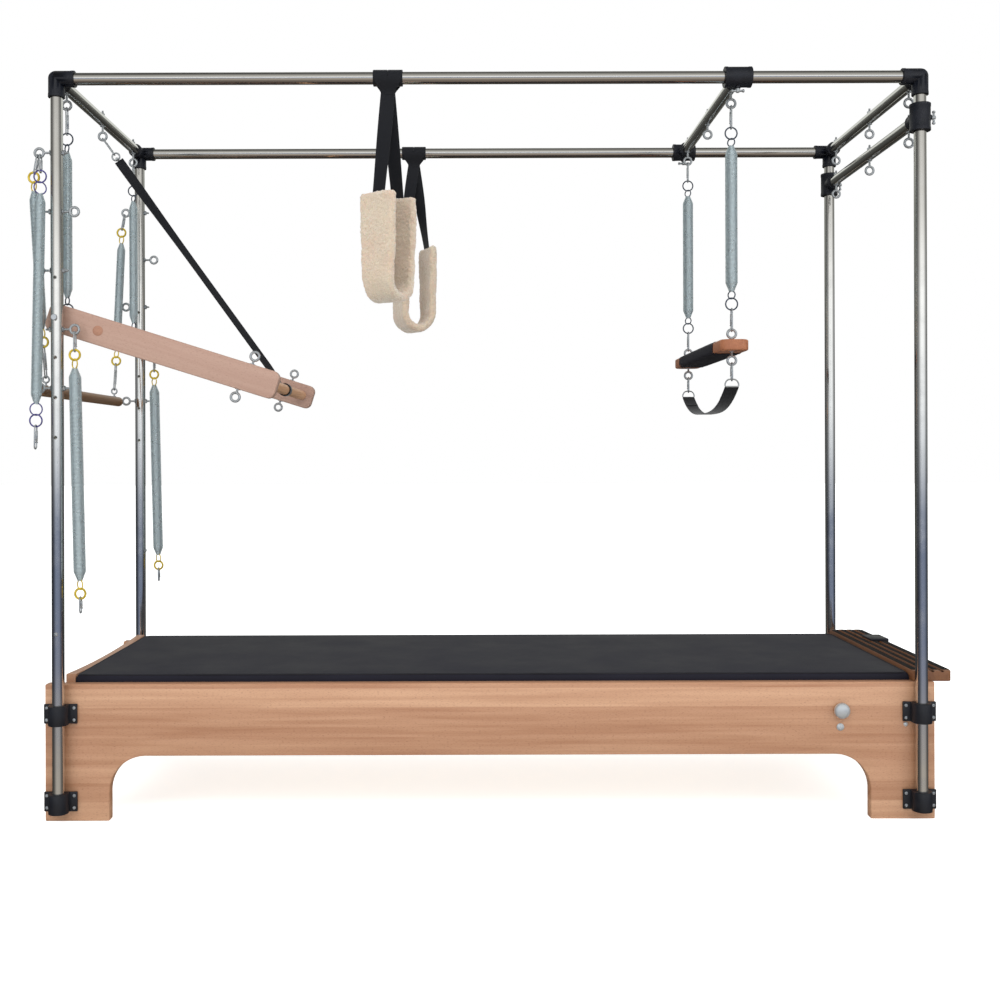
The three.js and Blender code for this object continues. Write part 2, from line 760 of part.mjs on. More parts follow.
// Safety strap: hook and shackle at the left tube's middle eye, webbing round the dowel
const strapTop = vec(-postX, 0, canopyHeight - eyeDrop - hookSeat);
const dowelCentre = vec(
  -postX + crossbarAlong * Math.cos(armTilt), 0, pivotHeight - crossbarAlong * Math.sin(armTilt),
);
function strapSolid() {
  const axis = dowelCentre.clone().sub(strapTop);
  const length = axis.length();
  axis.normalize();
  const half = strapWidth / 2;
  const loopOuter = crossbarRadius + seatGap + strapThickness;
  const webStart = strapHook + shackleMean;
  const geometry = new THREE.BoxGeometry(strapThickness, strapWidth, length - webStart);
  geometry.translate(0, 0, webStart + (length - webStart) / 2);
  geometry.applyQuaternion(new THREE.Quaternion().setFromUnitVectors(zAxis, axis));
  geometry.translate(...strapTop.toArray());
  const at = (y) => dowelCentre.clone().setY(y);
  const shackleSize = { mean: shackleMean, wire: shackleWire };
  const shackleAt = along(strapTop, axis, strapHook + insideOf(shackleSize));
  const shackle = ring(shackleAt, yAxis, shackleMean, shackleWire);
  const webbing = joined(toSolid(geometry), rod(at(-half), at(half), loopOuter));
  const bore = rod(at(-half - cutOverrun), at(half + cutOverrun), crossbarRadius + seatGap);
  const hook = link(strapTop, along(strapTop, axis, strapHook), yAxis, hookHalfWidth, hookWire);
  return joined(hook, shackle, without(webbing, bore));
}
place("safety_strap", strapSolid(), materials.webbing);

// Springs: plain ones as a tapered closed roll, wound ones as one unbroken helix
function rollSolid(from, to, radius) {
  const length = from.distanceTo(to);
  const taperShares = [[0, 0], [0.35, 0], [1, 1]];
  const profile = taperShares.map(([out, down]) => new THREE.Vector2(out * radius, down * springTaper));
  const mirrored = profile.map((p) => new THREE.Vector2(p.x, length - p.y)).reverse();
  const geometry = new THREE.LatheGeometry([...profile, ...mirrored], springSides);
  const axis = to.clone().sub(from).normalize();
  geometry.applyQuaternion(new THREE.Quaternion().setFromUnitVectors(yAxis, axis));
  geometry.translate(...from.toArray());
  return toSolid(geometry);
}

function helixPoints(length, outerRadius, curls) {
  const pitch = length / curls;
  const wire = (pitch * curlFillShare) / 2;
  const wide = outerRadius - wire;
  const narrow = wire + wire / 2;
  const count = (curls - 2) * curlSteps;
  const points = [];
  for (let i = 0; i <= count; i++) {
    const turns = i / curlSteps;
    const fromEnd = Math.min(turns, curls - 2 - turns) / curlTaperTurns;
    const radius = narrow + (wide - narrow) * Math.min(fromEnd, 1);
    const angle = 2 * Math.PI * turns;
    points.push(vec(radius * Math.cos(angle), radius * Math.sin(angle), -pitch * (turns + 1)));
  }
  const first = points[0];
  const final = points[points.length - 1];
  points.unshift(first.clone().setZ(0));
  points.push(final.clone().setZ(-length));
  return { points, wire, narrow };
}

function leastGap(points, wire) {
  let least = Infinity;
  points.forEach((point, i) => {
    for (let j = i + curlSteps / 2; j < points.length; j++) {
      least = Math.min(least, point.distanceTo(points[j]) - 2 * wire);
    }
  });
  return least;
}

function woundSolid(top, length, radius, curls) {
  const { points, wire } = helixPoints(length, radius, curls);
  console.log("least gap between curls " + leastGap(points.slice(1, -1), wire).toFixed(2) + " mm");
  const sideVectors = points.map((p) => vec(p.x, p.y, 0));
  points.forEach((p) => p.add(top));
  return wireThrough(points, sideVectors, wire, curlSides, false);
}

// A hanging spring: hook, ring, neck, body, neck, ring and lower hook in one chain
function hangingSpring(spec) {
  const { tailHook, neck, length, radius, mean, wire } = spec;
  const ringTop = spec.ringTop;
  const bodyTop = along(ringTop, down, mean - wire + neck);
  const bodyAxis = vec(spec.leanX, spec.leanY, -length).normalize();
  const bodyEnd = along(bodyTop, bodyAxis, length);
  const ringEnd = along(bodyEnd, bodyAxis, mean - wire + neck);
  const inside = insideOf({ mean, wire });
  const toHook = spec.top.clone().sub(ringTop).normalize();
  const tailStart = along(ringEnd, bodyAxis, inside);
  const tailEnd = spec.tail ?? along(tailStart, bodyAxis, tailHook);
  const body = spec.curls
    ? woundSolid(bodyTop, length, radius, spec.curls)
    : rollSolid(bodyTop, bodyEnd, radius);
  const offset = vec(spec.curls ? helixPoints(length, radius, spec.curls).narrow : 0, 0, 0);
  const neckTo = (ringCentre, bodyPoint, sign) => {
    const start = along(ringCentre, bodyAxis, sign * (mean - fuse));
    return rod(start, along(bodyPoint, bodyAxis, sign * neckOverlap).add(offset), wire, shankSides);
  };
  return joined(
    link(spec.top, along(ringTop, toHook, inside), yAxis, hookHalfWidth, hookWire),
    ring(ringTop, yAxis, mean, wire),
    neckTo(ringTop, bodyTop, 1),
    body,
    neckTo(ringEnd, bodyEnd, -1),
    ring(ringEnd, yAxis, mean, wire),
    link(tailStart, tailEnd, yAxis, hookHalfWidth, hookWire),
  );
}

const ringBelow = (top, hook, size) => along(top, down, hook + insideOf(size));

// Trapeze springs on the slide bar's outer eyes, wound in full
const canopyPivot = canopyHeight - eyeDrop - hookSeat;
const [nearEye, , farEye] = canopyEyeOffsets;
for (const [side, y] of [["near", nearEye], ["far", farEye]]) {
  const top = vec(slideBarPlace, y, canopyPivot);
  const spring = hangingSpring({
    ...thin, top, ringTop: ringBelow(top, trapezeHook, thin), leanX: 0, leanY: 0,
    length: trapezeSpringLength, radius: trapezeSpringRadius, curls: trapezeCurls,
    neck: trapezeNeck, tailHook: trapezeHook,
  });
  place("trapeze_spring_" + side, spring, materials.zinc);
  const pushTop = vec(-postX, y, canopyPivot);
  const pushSpring = hangingSpring({
    ...thin, top: pushTop, ringTop: ringBelow(pushTop, pushHook, thin), leanX: 0, leanY: 0,
    length: pushSpringLength, radius: pushSpringRadius, neck: pushNeck, tailHook: pushTailHook,
  });
  place("push_spring_" + side, pushSpring, materials.zinc);
}

// Leg springs on the posts' lower inner eyes
for (const [side, sign] of Object.entries(sides)) {
  const top = vec(-postX + eyeDrop, sign * postY, legEyeHeight - hookSeat);
  const spring = hangingSpring({
    ...thick, top, ringTop: ringBelow(top, legHook, thick), leanX: legSpringLean, leanY: 0,
    length: legSpringLength, radius: legSpringRadius, neck: legNeck, tailHook: legTailHook,
  });
  place("leg_spring_" + side, spring, materials.zinc);
}

// Two springs share the near post's top outer eye, side by side
const outerEyeX = -postX - eyeDrop;
const sharedSeat = hookSeat - sharedEyeStep * Math.tan(eyeCornerAngle) - leanPlay;
const armTopZ = topEyeHeight - sharedSeat + armLeanPlay;
const armTop = vec(outerEyeX + sharedEyeStep, -postY, armTopZ);
const armSpring = hangingSpring({
  ...thin, top: armTop, ringTop: ringBelow(armTop, armHook, thin).add(vec(armRingShiftX, armRingShiftY, 0)),
  leanX: armSpringLean, leanY: 0,
  length: armSpringLength, radius: armSpringRadius, neck: armNeck, tailHook: armTailHook,
});
place("arm_spring_near", armSpring, materials.zinc);

// Roll-down bar: its springs lean in from the posts' top outer eyes to small eyes on the dowel
const rollX = outerEyeX - sharedEyeStep;
const rollTopZ = topEyeHeight - sharedSeat;
const rollRingZ = rollTopZ - rollHook - insideOf(thick);
const rollLength = rollSpringLength + 2 * (thick.mean - thick.wire + rollNeck);
const rollLowRingZ = rollRingZ - rollLength;
const smallEyeZ = rollLowRingZ - insideOf(thick) - rollTailHook;
const rollBarX = rollX + rollRingShift;
const smallSeat = seatBelow(smallEyeMean, smallEyeWire) - leanPlay;
const rollEyeY = postY - rollSpread;
const bottomZ = smallEyeZ - smallSeat;
for (const [side, sign] of Object.entries(sides)) {
  const top = vec(rollX, sign * postY, rollTopZ);
  const ringTop = vec(rollBarX, sign * postY, rollRingZ);
  const lean = (-sign * rollSpread * rollSpringLength) / (rollRingZ - bottomZ);
  const spring = hangingSpring({
    ...thick, top, ringTop, leanX: 0, leanY: lean, length: rollSpringLength,
    radius: rollSpringRadius, neck: rollNeck, tail: vec(rollBarX, sign * rollEyeY, smallEyeZ),
  });
  place("rolldown_spring_" + side, spring, materials.zinc);
}
const rollBarZ = bottomZ - smallEyeRise - rollBarRadius;
const rollBarAt = (y) => vec(rollBarX, y, rollBarZ);
const rollBar = joined(
  rod(rollBarAt(-rollBarHalfLength), rollBarAt(rollBarHalfLength), rollBarRadius),
  ...Object.values(sides).flatMap((sign) => {
    const centre = vec(rollBarX, sign * rollEyeY, bottomZ);
    const seat = along(centre, down, smallEyeRise + neckOverlap);
    return [
      ring(centre, yAxis, smallEyeMean, smallEyeWire),
      rod(along(centre, down, smallEyeMean), seat, smallEyeWire, shankSides),
    ];
  }),
);
place("rolldown_bar", rollBar, materials.board);

// Trapeze board with an eye above and below each end, and a padded cover
function boardShape() {
  const shape = new THREE.Shape();
  const w = boardWidth / 2 - boardBevel;
  const l = boardHalfLength - boardBevel;
  const r = boardCorner;
  shape.absarc(w - r, l - r, r, 0, Math.PI / 2);
  shape.absarc(-w + r, l - r, r, Math.PI / 2, Math.PI);
  shape.absarc(-w + r, -l + r, r, Math.PI, 1.5 * Math.PI);
  shape.absarc(w - r, -l + r, r, 1.5 * Math.PI, 2 * Math.PI);
  return shape;
}

const boardMiddle = boardTop - boardThickness / 2;
function boardSolid() {
  const geometry = new THREE.ExtrudeGeometry(boardShape(), {
    depth: boardThickness - 2 * boardBevel, bevelSize: boardBevel, bevelThickness: boardBevel,
    bevelSegments: 1, curveSegments: boardCornerSteps,
  });
  geometry.translate(slideBarPlace, 0, boardMiddle - boardThickness / 2 + boardBevel);
  const eye = (y, direction, rise) => {
    const centre = vec(slideBarPlace, y, boardMiddle);
    const eyeCentre = along(centre, direction, boardThickness / 2 + rise);
    return joined(
      rod(centre, along(eyeCentre, direction, -eyeMean), shankRadius, shankSides),
      ring(eyeCentre, yAxis, eyeMean, eyeWire, eyeSteps),
    );
  };
  const eyes = [nearEye, farEye].flatMap((y) => [eye(y, zAxis, boardEyeRise), eye(y, down, boardEyeFall)]);
  return joined(toSolid(geometry), ...eyes);
}
place("airplane_board", boardSolid(), materials.board);

function sleeveAround(width, height, gap, wall) {
  const rectangle = (PathClass, w, h) => {
    const path = new PathClass();
    path.moveTo(-w, -h);
    path.lineTo(w, -h);
    path.lineTo(w, h);
    path.lineTo(-w, h);
    path.closePath();
    return path;
  };
  const outline = rectangle(THREE.Shape, width / 2 + gap + wall, height / 2 + gap + wall);
  outline.holes.push(rectangle(THREE.Path, width / 2 + gap, height / 2 + gap));
  return slabAlongY(outline, -coverHalfLength, coverHalfLength);
}
const coverSolid = sleeveAround(boardWidth, boardThickness, seatGap, coverThickness);
const cover = place("board_cover", coverSolid, materials.vinyl);
cover.position.set(slideBarPlace, 0, boardMiddle);

// Foot strap: hooks, flat rings and webbing that sags between the board's lower eyes
const lowerEyeZ = boardMiddle - boardThickness / 2 - boardEyeFall;
const footTopZ = lowerEyeZ - hookSeat;
function footStrapSolid() {
  const middle = (nearEye + farEye) / 2;
  const reach = (farEye - nearEye) / 2;
  const ringTopZ = footTopZ - footHook + (ringWire + hookWire) * wireFlatShare - hookFuse;
  const webTopZ = ringTopZ - footRingHeight;
  const heightAt = (share) => webTopZ - footStrapSag * (1 - share ** 2);
  const shape = new THREE.Shape();
  for (let i = 0; i <= footStrapSteps; i++) {
    const share = (2 * i) / footStrapSteps - 1;
    const z = heightAt(share) - footStrapThickness / 2;
    if (i === 0) shape.moveTo(middle + share * reach, z);
    else shape.lineTo(middle + share * reach, z);
  }
  for (let i = footStrapSteps; i >= 0; i--) {
    const share = (2 * i) / footStrapSteps - 1;
    shape.lineTo(middle + share * reach, heightAt(share) + footStrapThickness / 2);
  }
  const web = slabAlongY(shape, -footStrapWidth / 2, footStrapWidth / 2);
  const geometry = toGeometry(web);
  geometry.rotateZ(Math.PI / 2);
  geometry.translate(slideBarPlace, 0, 0);
  const parts = [toSolid(geometry)];
  for (const y of [nearEye, farEye]) {
    const top = vec(slideBarPlace, y, footTopZ);
    const half = footRingWidth / 2 - ringWire;
    const cornerShares = [[-1, 0], [-0.8, 0.7], [-0.3, 1], [0.3, 1], [0.8, 0.7], [1, 0]];
    const points = cornerShares.map(([out, up]) =>
      vec(slideBarPlace + out * half, y, webTopZ + up * footRingHeight));
    parts.push(link(top, along(top, down, footHook), yAxis, hookHalfWidth, hookWire));
    parts.push(wireThrough(points, points.map(() => yAxis), ringWire, wireSides, true));
  }
  return joined(...parts);
}
place("foot_strap", footStrapSolid(), materials.webbing);

// Slings: webbing choked round the long tube, two legs and a U-shaped fleece cuff
function flatBand(from, fromSide, to, toSide) {
  const axis = to.clone().sub(from).normalize();
  const vertices = [];
  for (const [point, side] of [[from, fromSide], [to, toSide]]) {
    const thickWay = axis.clone().cross(side).normalize();
    for (const [s, t] of [[-1, -1], [1, -1], [1, 1], [-1, 1]]) {
      const corner = along(along(point, side, (s * webbingWidth) / 2), thickWay, (t * webbingThickness) / 2);
      vertices.push(...corner.toArray());
    }
  }
  const faces = [0, 2, 1, 0, 3, 2, 4, 5, 6, 4, 6, 7];
  for (let j = 0; j < 4; j++) {
    const k = (j + 1) % 4;
    faces.push(j, k, k + 4, j, k + 4, j + 4);
  }
  const geometry = new THREE.BufferGeometry();
  geometry.setAttribute("position", new THREE.Float32BufferAttribute(vertices, 3));
  geometry.setIndex(faces);
  return toSolid(geometry);
}

function cuffShape() {
  const shape = new THREE.Shape();
  const outer = cuffHalfSpread + cuffThickness / 2;
  const inner = cuffHalfSpread - cuffThickness / 2;
  const bendZ = -cuffBottomDrop + outer;
  shape.moveTo(-outer, -cuffTopDrop);
  shape.absarc(0, bendZ, outer, Math.PI, 2 * Math.PI);
  shape.lineTo(outer, -cuffTopDrop);
  shape.lineTo(inner, -cuffTopDrop);
  shape.absarc(0, bendZ, inner, 2 * Math.PI, Math.PI, true);
  shape.lineTo(-inner, -cuffTopDrop);
  shape.closePath();
  return shape;
}

function slingSolid(turn) {
  const across = vec(Math.cos(turn), Math.sin(turn), 0);
  const width = vec(-Math.sin(turn), Math.cos(turn), 0);
  const half = wrapLength / 2;
  const wrapOuter = tubeRadius + slideClearance + wrapThickness;
  const neck = new THREE.Shape();
  neck.moveTo(-half, -tubeRadius);
  neck.lineTo(-wrapNeckWidth / 2, -wrapNeckDrop);
  neck.lineTo(wrapNeckWidth / 2, -wrapNeckDrop);
  neck.lineTo(half, -tubeRadius);
  neck.closePath();
  const wrap = without(
    joined(
      rod(vec(-half, 0, 0), vec(half, 0, 0), wrapOuter),
      slabAlongY(neck, -wrapNeckThickness / 2, wrapNeckThickness / 2),
    ),
    rod(vec(-half - cutOverrun, 0, 0), vec(half + cutOverrun, 0, 0), tubeRadius + slideClearance),
  );
  const legTop = vec(0, 0, -wrapNeckDrop + webbingThickness);
  const legs = [-1, 1].map((sign) => {
    const foot = along(vec(0, 0, -cuffTopDrop - webbingIntoCuff), across, sign * cuffHalfSpread);
    return flatBand(legTop, xAxis.clone(), foot, width.clone().negate());
  });
  const cuff = slabAlongY(cuffShape(), -cuffWidth / 2, cuffWidth / 2, cuffBendSteps);
  const geometry = toGeometry(cuff);
  geometry.rotateZ(turn);
  return joined(wrap, ...legs, toSolid(geometry));
}

for (const [side, sign] of Object.entries(sides)) {
  const sling = place("sling_" + side, slingSolid(slingTurns[side]), materials.fleece);
  sling.position.set(slingPlaces[side], sign * postY, canopyHeight);
}

// Lock knob: a domed head in front of the near rail on a stem through it
function knobSolid() {
  const head = knobStandOff + knobDepth;
  const edgeShare = 0.45;
  const shoulderShare = 0.75;
  const profile = [
    new THREE.Vector2(0, -railThickness - knobStemInside),
    new THREE.Vector2(knobStemRadius, -railThickness - knobStemInside),
    new THREE.Vector2(knobStemRadius, knobStandOff),
    new THREE.Vector2(knobRadius, knobStandOff),
    new THREE.Vector2(knobRadius, knobStandOff + edgeShare * knobDepth),
    new THREE.Vector2(shoulderShare * knobRadius, head - (1 - shoulderShare) * knobDepth),
    new THREE.Vector2(0, head),
  ];
  return toSolid(new THREE.LatheGeometry(profile, knobSides));
}
const knob = place("lock_knob", knobSolid(), materials.zinc);
knob.rotation.x = Math.PI;
knob.position.set(knobPlace, -railFace, knobHeight);

export default group;
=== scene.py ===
# A pilates trapeze table: a beech bed with a tubular canopy, springs, a push-through bar,
# a trapeze board, a roll-down bar and fleece slings.
# Metres, +Z up, +X towards the drop bar, -Y towards the camera.
import math

import bmesh
import bpy
from mathutils import Matrix, Vector, noise


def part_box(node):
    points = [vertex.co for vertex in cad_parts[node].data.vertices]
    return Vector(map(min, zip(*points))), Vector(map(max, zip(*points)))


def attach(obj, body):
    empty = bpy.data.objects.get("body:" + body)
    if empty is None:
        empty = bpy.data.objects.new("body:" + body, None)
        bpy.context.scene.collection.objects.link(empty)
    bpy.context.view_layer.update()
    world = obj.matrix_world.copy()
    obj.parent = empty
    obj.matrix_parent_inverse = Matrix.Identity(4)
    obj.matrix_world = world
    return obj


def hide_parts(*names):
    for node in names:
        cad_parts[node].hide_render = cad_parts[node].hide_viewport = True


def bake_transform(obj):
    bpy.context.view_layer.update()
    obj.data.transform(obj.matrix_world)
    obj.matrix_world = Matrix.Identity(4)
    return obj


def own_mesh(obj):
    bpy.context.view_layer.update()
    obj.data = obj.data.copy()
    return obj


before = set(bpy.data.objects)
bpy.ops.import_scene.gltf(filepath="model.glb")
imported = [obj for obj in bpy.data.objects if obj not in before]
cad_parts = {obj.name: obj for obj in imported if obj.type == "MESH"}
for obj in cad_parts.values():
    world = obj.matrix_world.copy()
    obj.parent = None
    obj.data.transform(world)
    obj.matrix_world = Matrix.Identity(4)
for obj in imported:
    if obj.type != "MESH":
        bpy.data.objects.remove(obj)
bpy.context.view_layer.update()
MM = 0.001
SIDES = (("near", -1), ("far", 1))


# The room: a seamless pale floor and wall far behind, soft light from the left and the ceiling,
# and a darker room behind the camera that only polished metal shows.
# The camera stands 3.3 m in front of the bed at about a metre's height, looks straight ahead
# and is rolled by a sixth of a degree.
ROOM_WHITE = "#FFFFFF"
FLOOR_SIZE = 60.0
CAMERA_PLACE = (-0.0535, -3.304, 0.976)
CAMERA_ROLL = math.radians(0.17)
CAMERA_FOCAL_PX = 1114.0
CAMERA_CENTRE_PX = (469.0, 452.0)
PICTURE_PX = 1000.0
SENSOR = 36.0


def linear(hex_code):
    """An sRGB hex colour as the linear colour that a shader takes."""
    channels = [int(hex_code[i:i + 2], 16) / 255 for i in (1, 3, 5)]
    return [c / 12.92 if c <= 0.04045 else ((c + 0.055) / 1.055) ** 2.4 for c in channels] + [1.0]


def feed(tree, node, inputs):
    """Gives a node's inputs their values, or the outputs that feed them."""
    for socket, value in inputs.items():
        if isinstance(value, bpy.types.NodeSocket):
            tree.links.new(value, node.inputs[socket])
        else:
            node.inputs[socket].default_value = value


def add_node(tree, kind, out, inputs, **options):
    """The named output of a new shader node with these inputs and options."""
    made = tree.nodes.new(kind)
    for name, value in options.items():
        setattr(made, name, value)
    feed(tree, made, inputs)
    return made.outputs[out]


def spread(tree, value, low, high, to_low=0.0, to_high=1.0, **options):
    """One range of a value spread over another."""
    limits = {"From Min": low, "From Max": high, "To Min": to_low, "To Max": to_high}
    return add_node(tree, "ShaderNodeMapRange", "Result", {"Value": value, **limits}, **options)


def ramp(tree, value, *stops):
    """A value turned into a colour by stops, each a place and a hex or linear colour."""
    colour = add_node(tree, "ShaderNodeValToRGB", "Color", {"Fac": value})
    elements = colour.node.color_ramp.elements
    while len(elements) < len(stops):
        elements.new(0.5)
    for element, (place, shade) in zip(elements, stops):
        element.position = place
        element.color = linear(shade) if isinstance(shade, str) else shade
    return colour


def mix(tree, factor, a, b, **options):
    """Two colours mixed by a factor."""
    inputs = {"Factor": factor, "A": a, "B": b}
    return add_node(tree, "ShaderNodeMix", "Result", inputs, data_type="RGBA", **options)


def plain_material(name, constants):
    """A material with these constants on its shader."""
    material = bpy.data.materials.new(name)
    material.use_nodes = True
    feed(material.node_tree, material.node_tree.nodes["Principled BSDF"], constants)
    return material


def add_object(name, data):
    """A new object in the scene."""
    made = bpy.data.objects.new(name, data)
    bpy.context.scene.collection.objects.link(made)
    return made


camera = add_object("camera", bpy.data.cameras.new("camera"))
camera.location = CAMERA_PLACE
camera.rotation_euler = (math.pi / 2, CAMERA_ROLL, 0)
camera.data.sensor_width = SENSOR
camera.data.lens = CAMERA_FOCAL_PX / PICTURE_PX * SENSOR
camera.data.shift_x = 0.5 - CAMERA_CENTRE_PX[0] / PICTURE_PX
camera.data.shift_y = CAMERA_CENTRE_PX[1] / PICTURE_PX - 0.5
camera.data.clip_end = 200
bpy.context.scene.camera = camera
bpy.context.scene.view_settings.view_transform = "Standard"

floor_mesh = bmesh.new()
bmesh.ops.create_grid(floor_mesh, x_segments=1, y_segments=1, size=FLOOR_SIZE / 2)
floor = add_object("floor", bpy.data.meshes.new("floor"))
floor_mesh.to_mesh(floor.data)
floor_mesh.free()
floor.visible_glossy = False
floor_paint = plain_material("studio floor", {"Base Color": linear("#F4F5F2"), "Roughness": 0.9,
                                              "Specular IOR Level": 0.1,
                                              "Emission Color": linear(ROOM_WHITE)})
floor_tree = floor_paint.node_tree
floor_seen = add_node(floor_tree, "ShaderNodeLightPath", "Is Camera Ray", {})
feed(floor_tree, floor_tree.nodes["Principled BSDF"], {
    "Emission Strength": spread(floor_tree, floor_seen, 0.0, 1.0, 0.1, 0.7),
})
floor.data.materials.append(floor_paint)

# The room as mirrors see it, by height: a grey ceiling, a bright row of windows just above the
# horizon, a pale wall below it and a warm brown floor
world = bpy.data.worlds.new("studio")
world.use_nodes = True
bpy.context.scene.world = world
room = world.node_tree
direction = add_node(room, "ShaderNodeTexCoord", "Generated", {})
split = add_node(room, "ShaderNodeSeparateXYZ", "X", {"Vector": direction}).node.outputs
height = spread(room, split["Z"], -1.0, 1.0)
mirror_room = ramp(
    room, height, (0.0, "#6A6058"), (0.14, "#766C64"), (0.25, "#9C948A"), (0.37, "#A39C93"),
    (0.415, "#6A738A"), (0.47, "#6E778C"), (0.515, "#EDF0F4"), (0.57, "#FCFCFC"), (0.604, "#CCCAC6"),
    (0.638, "#B6B4B0"), (0.765, "#B0AEAA"), (0.905, "#86847F"), (1.0, "#6C6B68"),
)
# The same room by direction: windows behind the camera, darker walls at both sides
across = add_node(room, "ShaderNodeMath", "Value", {0: split["Y"], 1: split["X"]}, operation="ARCTAN2")
window_share = ramp(room, spread(room, across, -math.pi, math.pi), *[
    (place, [share, share, share, 1]) for place, share in (
        (0.0, 0.13), (0.07, 0.2), (0.14, 0.55), (0.19, 0.9), (0.25, 1.0), (0.37, 0.88), (0.43, 0.42),
        (0.48, 0.28), (0.55, 0.2), (1.0, 0.13),
    )
])
front_room = mix(room, 1.0, mirror_room, window_share, blend_type="MULTIPLY")
# Beyond the object: a dark floor in shade, and a pale strip of wall above the horizon
back_room = ramp(
    room, height, (0.0, "#3A342E"), (0.3, "#2A2825"), (0.44, "#454542"), (0.53, "#3E3F3E"),
    (0.6, "#74756F"), (0.65, "#C8C9C4"), (0.74, "#A9AAA5"), (0.86, "#72726E"), (1.0, "#6C6B68"),
)
behind = spread(room, split["Y"], 0.05, 0.5, interpolation_type="SMOOTHSTEP")
mirror_light, soft_light, backdrop = [
    add_node(room, "ShaderNodeBackground", "Background", {"Color": shade, "Strength": strength})
    for shade, strength in (
        (mix(room, behind, front_room, back_room), 1.5), (linear("#F3F5F8"), 0.8), (linear(ROOM_WHITE), 1.0),
    )
]
ray = add_node(room, "ShaderNodeLightPath", "Is Camera Ray", {}).node.outputs
lit = add_node(room, "ShaderNodeMixShader", "Shader",
               {"Fac": ray["Is Glossy Ray"], 1: soft_light, 2: mirror_light})
seen = add_node(room, "ShaderNodeMixShader", "Shader", {"Fac": ray["Is Camera Ray"], 1: lit, 2: backdrop})
feed(room, room.nodes["World Output"], {"Surface": seen})

for light_name, place, aim, width, power in [
    ("window left", (-3.2, -3.6, 3.0), (0, 0, 0.8), 2.2, 66.0),
    ("ceiling front", (0.6, -3.0, 4.2), (0, 0, 0.6), 3.0, 84.0),
    ("window right", (3.6, -2.4, 2.6), (0, 0, 0.8), 1.8, 40.0),
]:
    light = add_object(light_name, bpy.data.lights.new(light_name, "AREA"))
    light.data.size = width
    light.data.energy = power
    light.visible_glossy = False
    light.location = place
    light.rotation_euler = (Vector(aim) - Vector(place)).to_track_quat("-Z", "Y").to_euler()


# Side rails: two edge-glued beech panels, sawn with one long arch between the legs,
# edges rounded by a cutter and lacquered; staves of slightly different tints run lengthwise.
RAIL_EDGE = 3 * MM
ARCH_TOP = 172 * MM
ARCH_CORNER = 96 * MM
LEG_WIDTH = 170 * MM
STAVE_WIDTH = 50 * MM
STAVE_LENGTH = 6.0
STAVE_START = 1.5
SHARP_ANGLE = math.radians(32)
MERGE = 1e-6


def new_material(name, constants):
    """A material with these constants on its shader, its tree and the object's coordinates."""
    material = plain_material(name, constants)
    tree = material.node_tree
    return material, tree, add_node(tree, "ShaderNodeTexCoord", "Object", {})


def dress(tree, sockets, height=None, strength=0.0, distance=0.0):
    """Feeds the shader's sockets, and bumps its surface by a height if one is given."""
    if height:
        bump = {"Strength": strength, "Distance": distance, "Height": height}
        sockets["Normal"] = add_node(tree, "ShaderNodeBump", "Normal", bump)
    feed(tree, tree.nodes["Principled BSDF"], sockets)


def noise_at(tree, place, scale, detail, **more):
    """Noise over a place."""
    inputs = {"Vector": place, "Scale": scale, "Detail": detail, **more}
    return add_node(tree, "ShaderNodeTexNoise", "Fac", inputs)


def mapped(tree, place, **turns):
    """Coordinates turned, moved or scaled."""
    return add_node(tree, "ShaderNodeMapping", "Vector", {"Vector": place, **turns})


def toned(shade, share):
    """A hex colour, darker or lighter by a share."""
    return [c * share for c in linear(shade)[:3]] + [1]


def lacquered_wood(name, light, dark, fleck, turn=(0, 0, 0), roughness=0.42):
    """Beech under satin lacquer: staves, growth rings drawn out along the board and short ray
    flecks 2 to 4 mm long. The grain runs along X before the turn."""
    material, tree, place = new_material(name, {"Roughness": roughness, "Coat Weight": 0.25,
                                                "Coat Roughness": 0.25})
    turned = mapped(tree, place, Rotation=turn)
    upright = mapped(tree, turned, Rotation=(math.pi / 2, 0, 0), Location=(STAVE_START, 0, 0))
    staves = add_node(tree, "ShaderNodeTexBrick", "Color", {
        "Vector": upright, "Color1": linear(light), "Color2": linear(dark), "Scale": 1.0,
        "Mortar Size": 0.0, "Brick Width": STAVE_LENGTH, "Row Height": STAVE_WIDTH, "Bias": -0.1,
    }, offset=0.5)
    rings = noise_at(tree, mapped(tree, turned, Scale=(0.9, 26, 26)), 2.2, 5.0, Distortion=0.35)
    body = mix(tree, 0.5, staves, ramp(tree, rings, (0.3, dark), (0.68, light)))
    flecks = noise_at(tree, mapped(tree, turned, Scale=(130, 620, 620)), 1.0, 2.0)
    flecked = mix(tree, spread(tree, flecks, 0.56, 0.72, 0.0, 0.55), body, linear(fleck))
    dress(tree, {"Base Color": flecked}, rings, 0.06, 0.4 * MM)
    return material


def draw_out(bm, faces, way, keep=True):
    """Draws faces out along a vector; the first ones stay in place if they are kept."""
    drawn = bmesh.ops.extrude_face_region(bm, geom=faces, use_keep_orig=keep)["geom"]
    moved = [part for part in drawn if isinstance(part, bmesh.types.BMVert)]
    bmesh.ops.translate(bm, verts=moved, vec=way)


def plan(low, high, z):
    """The corners of a box's plan at one height."""
    return [(low.x, low.y, z), (high.x, low.y, z), (high.x, high.y, z), (low.x, high.y, z)]


def slab(corners, way, rounded=(), radius=0.0, steps=16):
    """A board with this outline, drawn out along a vector; the rounded corners get a radius."""
    bm = bmesh.new()
    verts = [bm.verts.new(corner) for corner in corners]
    bm.faces.new(verts)
    if rounded:
        bmesh.ops.bevel(bm, geom=[verts[i] for i in rounded], offset=radius, segments=steps,
                        profile=0.5, affect="VERTICES", offset_type="OFFSET", material=-1)
    draw_out(bm, bm.faces[:], way)
    return bm


